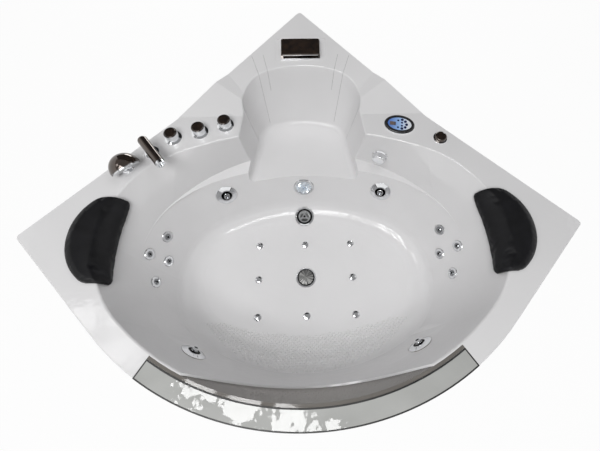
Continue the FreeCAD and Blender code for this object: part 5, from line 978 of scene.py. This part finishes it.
def add_dome(bm, centre, radius, height, sides=20, rings=4):
    rows = []
    for i in range(rings):
        lift = math.pi / 2 * i / rings
        row = []
        for j in range(sides):
            angle = 2 * math.pi * j / sides
            reach = radius * math.cos(lift)
            offset = Vector((reach * math.cos(angle), reach * math.sin(angle), height * math.sin(lift)))
            row.append(bm.verts.new(centre + offset))
        rows.append(row)
    top = bm.verts.new(centre + Vector((0, 0, height)))
    for low, high in zip(rows, rows[1:]):
        for j in range(sides):
            k = (j + 1) % sides
            bm.faces.new((low[j], low[k], high[k], high[j]))
    for j in range(sides):
        bm.faces.new((rows[-1][j], rows[-1][(j + 1) % sides], top))
    bm.faces.new(list(reversed(rows[0])))


def bezel_finish():
    finish = make_finish("black_bezel", BLACK_MOULDED, 0.2)
    blend_colours(finish, clouds(finish, 60.0, detail=5.0), BLACK_MOULDED, BLACK_SCUFFED)
    split = finish.node_tree.nodes.new("ShaderNodeSeparateXYZ")
    finish.node_tree.links.new(own_coordinates(finish), split.inputs["Vector"])
    edge = reckon(finish, "LESS_THAN", split.outputs["Z"], BEZEL_CHROME_TOP)
    stain(finish, edge, CHROME_BRIGHT)
    finish.node_tree.links.new(edge, shader_of(finish).inputs["Metallic"])
    vary_gloss(finish, clouds(finish, 90.0), 0.12, 0.24)
    return finish


dress(bezel_finish(), "panel_bezel")
dress(panel_print(), "panel_face")
display_glass = make_finish("brown_display", DISPLAY_BROWN, 0.1)
blend_colours(display_glass, clouds(display_glass, 90.0), DISPLAY_GREY, DISPLAY_BROWN)
vary_gloss(display_glass, clouds(display_glass, 50.0), 0.06, 0.15)
dress(display_glass, "panel_display")
button_plastic = make_finish("navy_button", BUTTON_NAVY, 0.2)
blend_colours(button_plastic, clouds(button_plastic, 300.0), BUTTON_NAVY, BUTTON_BLUE)
vary_gloss(button_plastic, clouds(button_plastic, 200.0), 0.14, 0.3)
dress(button_plastic, *["panel_button_%d" % number for number in range(1, 6)])
lamps = bmesh.new()
for lamp_along, lamp_across in LAMP_SPOTS:
    add_dome(lamps, panel_spot(lamp_along, lamp_across, PANEL_HIGH.z), LAMP_RADIUS, LAMP_HEIGHT)
piece_from_bmesh("panel_lamps", lamps, button_plastic, "bath")

# Air control
# A low dark mirror dial on a chrome collar in the right deck; it lets air into the large jets.
dress(dark_mirror, "air_knob")
dress(chrome, "air_valve_body")

# Head pillows
# Two soft black head rests of moulded foam with a smooth skin. Each hooks over the rim: a raised roll runs
# round its outer edge on the deck, and a shallow dish for the head falls from it into the basin.
PILLOW_BLACK = (0.0028, 0.0028, 0.0036)
PILLOW_SHEEN = (0.0055, 0.0055, 0.007)
PILLOW_VOXEL = 0.005
PILLOW_PRESSURE = 4.0
PILLOW_STEPS = 20
PILLOW_SWELL = 0.005
PILLOW_REST = 0.006
PILLOW_SMOOTHING = 10
PILLOW_SPECULAR = 0.24
MERGE_DISTANCE = 1e-5
pillow_skin = make_finish("black_pillow_skin", PILLOW_BLACK, 0.42)
shader_of(pillow_skin).inputs["Specular IOR Level"].default_value = PILLOW_SPECULAR
blend_colours(pillow_skin, clouds(pillow_skin, 18.0, detail=4.0), PILLOW_BLACK, PILLOW_SHEEN)
vary_gloss(pillow_skin, clouds(pillow_skin, 40.0), 0.36, 0.52)
emboss(pillow_skin, cells(pillow_skin, 900.0), 0.00012)


def merged_copy(name, node_name):
    bm = bmesh.new()
    bm.from_mesh(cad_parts[node_name].data)
    bmesh.ops.remove_doubles(bm, verts=bm.verts, dist=MERGE_DISTANCE)
    mesh = bpy.data.meshes.new(name)
    bm.to_mesh(mesh)
    bm.free()
    return put_in_scene(bpy.data.objects.new(name, mesh))


def settle(piece):
    bpy.context.view_layer.update()
    made = bpy.data.meshes.new_from_object(piece.evaluated_get(bpy.context.evaluated_depsgraph_get()))
    piece.modifiers.clear()
    piece.data = made


def swell(pillow, tub_tree):
    # The foam swells under its skin, but not where it rests on the tub.
    start = [vertex.co.copy() for vertex in pillow.data.vertices]
    cloth = pillow.modifiers.new("foam", "CLOTH")
    cloth.settings.use_pressure = True
    cloth.settings.uniform_pressure_force = PILLOW_PRESSURE
    cloth.settings.effector_weights.gravity = 0.0
    cloth.point_cache.frame_end = PILLOW_STEPS
    for step in range(1, PILLOW_STEPS + 1):
        bpy.context.scene.frame_set(step)
    settle(pillow)
    bpy.context.scene.frame_set(1)
    for vertex, before in zip(pillow.data.vertices, start):
        room = tub_tree.find_nearest(before)[3]
        most = min(PILLOW_SWELL, max(0.0, room - PILLOW_REST))
        move = vertex.co - before
        if move.length > most:
            move = move.normalized() * most
        vertex.co = before + move


def head_pillow(name, node_name, tub_tree):
    pillow = merged_copy(name, node_name)
    voxels = pillow.modifiers.new("voxels", "REMESH")
    voxels.mode = "VOXEL"
    voxels.voxel_size = PILLOW_VOXEL
    smoother = pillow.modifiers.new("smoother", "SMOOTH")
    smoother.iterations = PILLOW_SMOOTHING
    settle(pillow)
    swell(pillow, tub_tree)
    rounder = pillow.modifiers.new("rounder", "SUBSURF")
    rounder.levels = rounder.render_levels = 1
    settle(pillow)
    for polygon in pillow.data.polygons:
        polygon.use_smooth = True
    pillow.data.materials.clear()
    pillow.data.materials.append(pillow_skin)
    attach(pillow, "bath")
    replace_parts(pillow, node_name)
    return pillow


tub_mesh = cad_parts["tub_shell"].data
tub_faces = BVHTree.FromPolygons([vertex.co for vertex in tub_mesh.vertices],
                                 [polygon.vertices for polygon in tub_mesh.polygons])
head_pillow("head_pillow_left", "pillow_left", tub_faces)
head_pillow("head_pillow_right", "pillow_right", tub_faces)
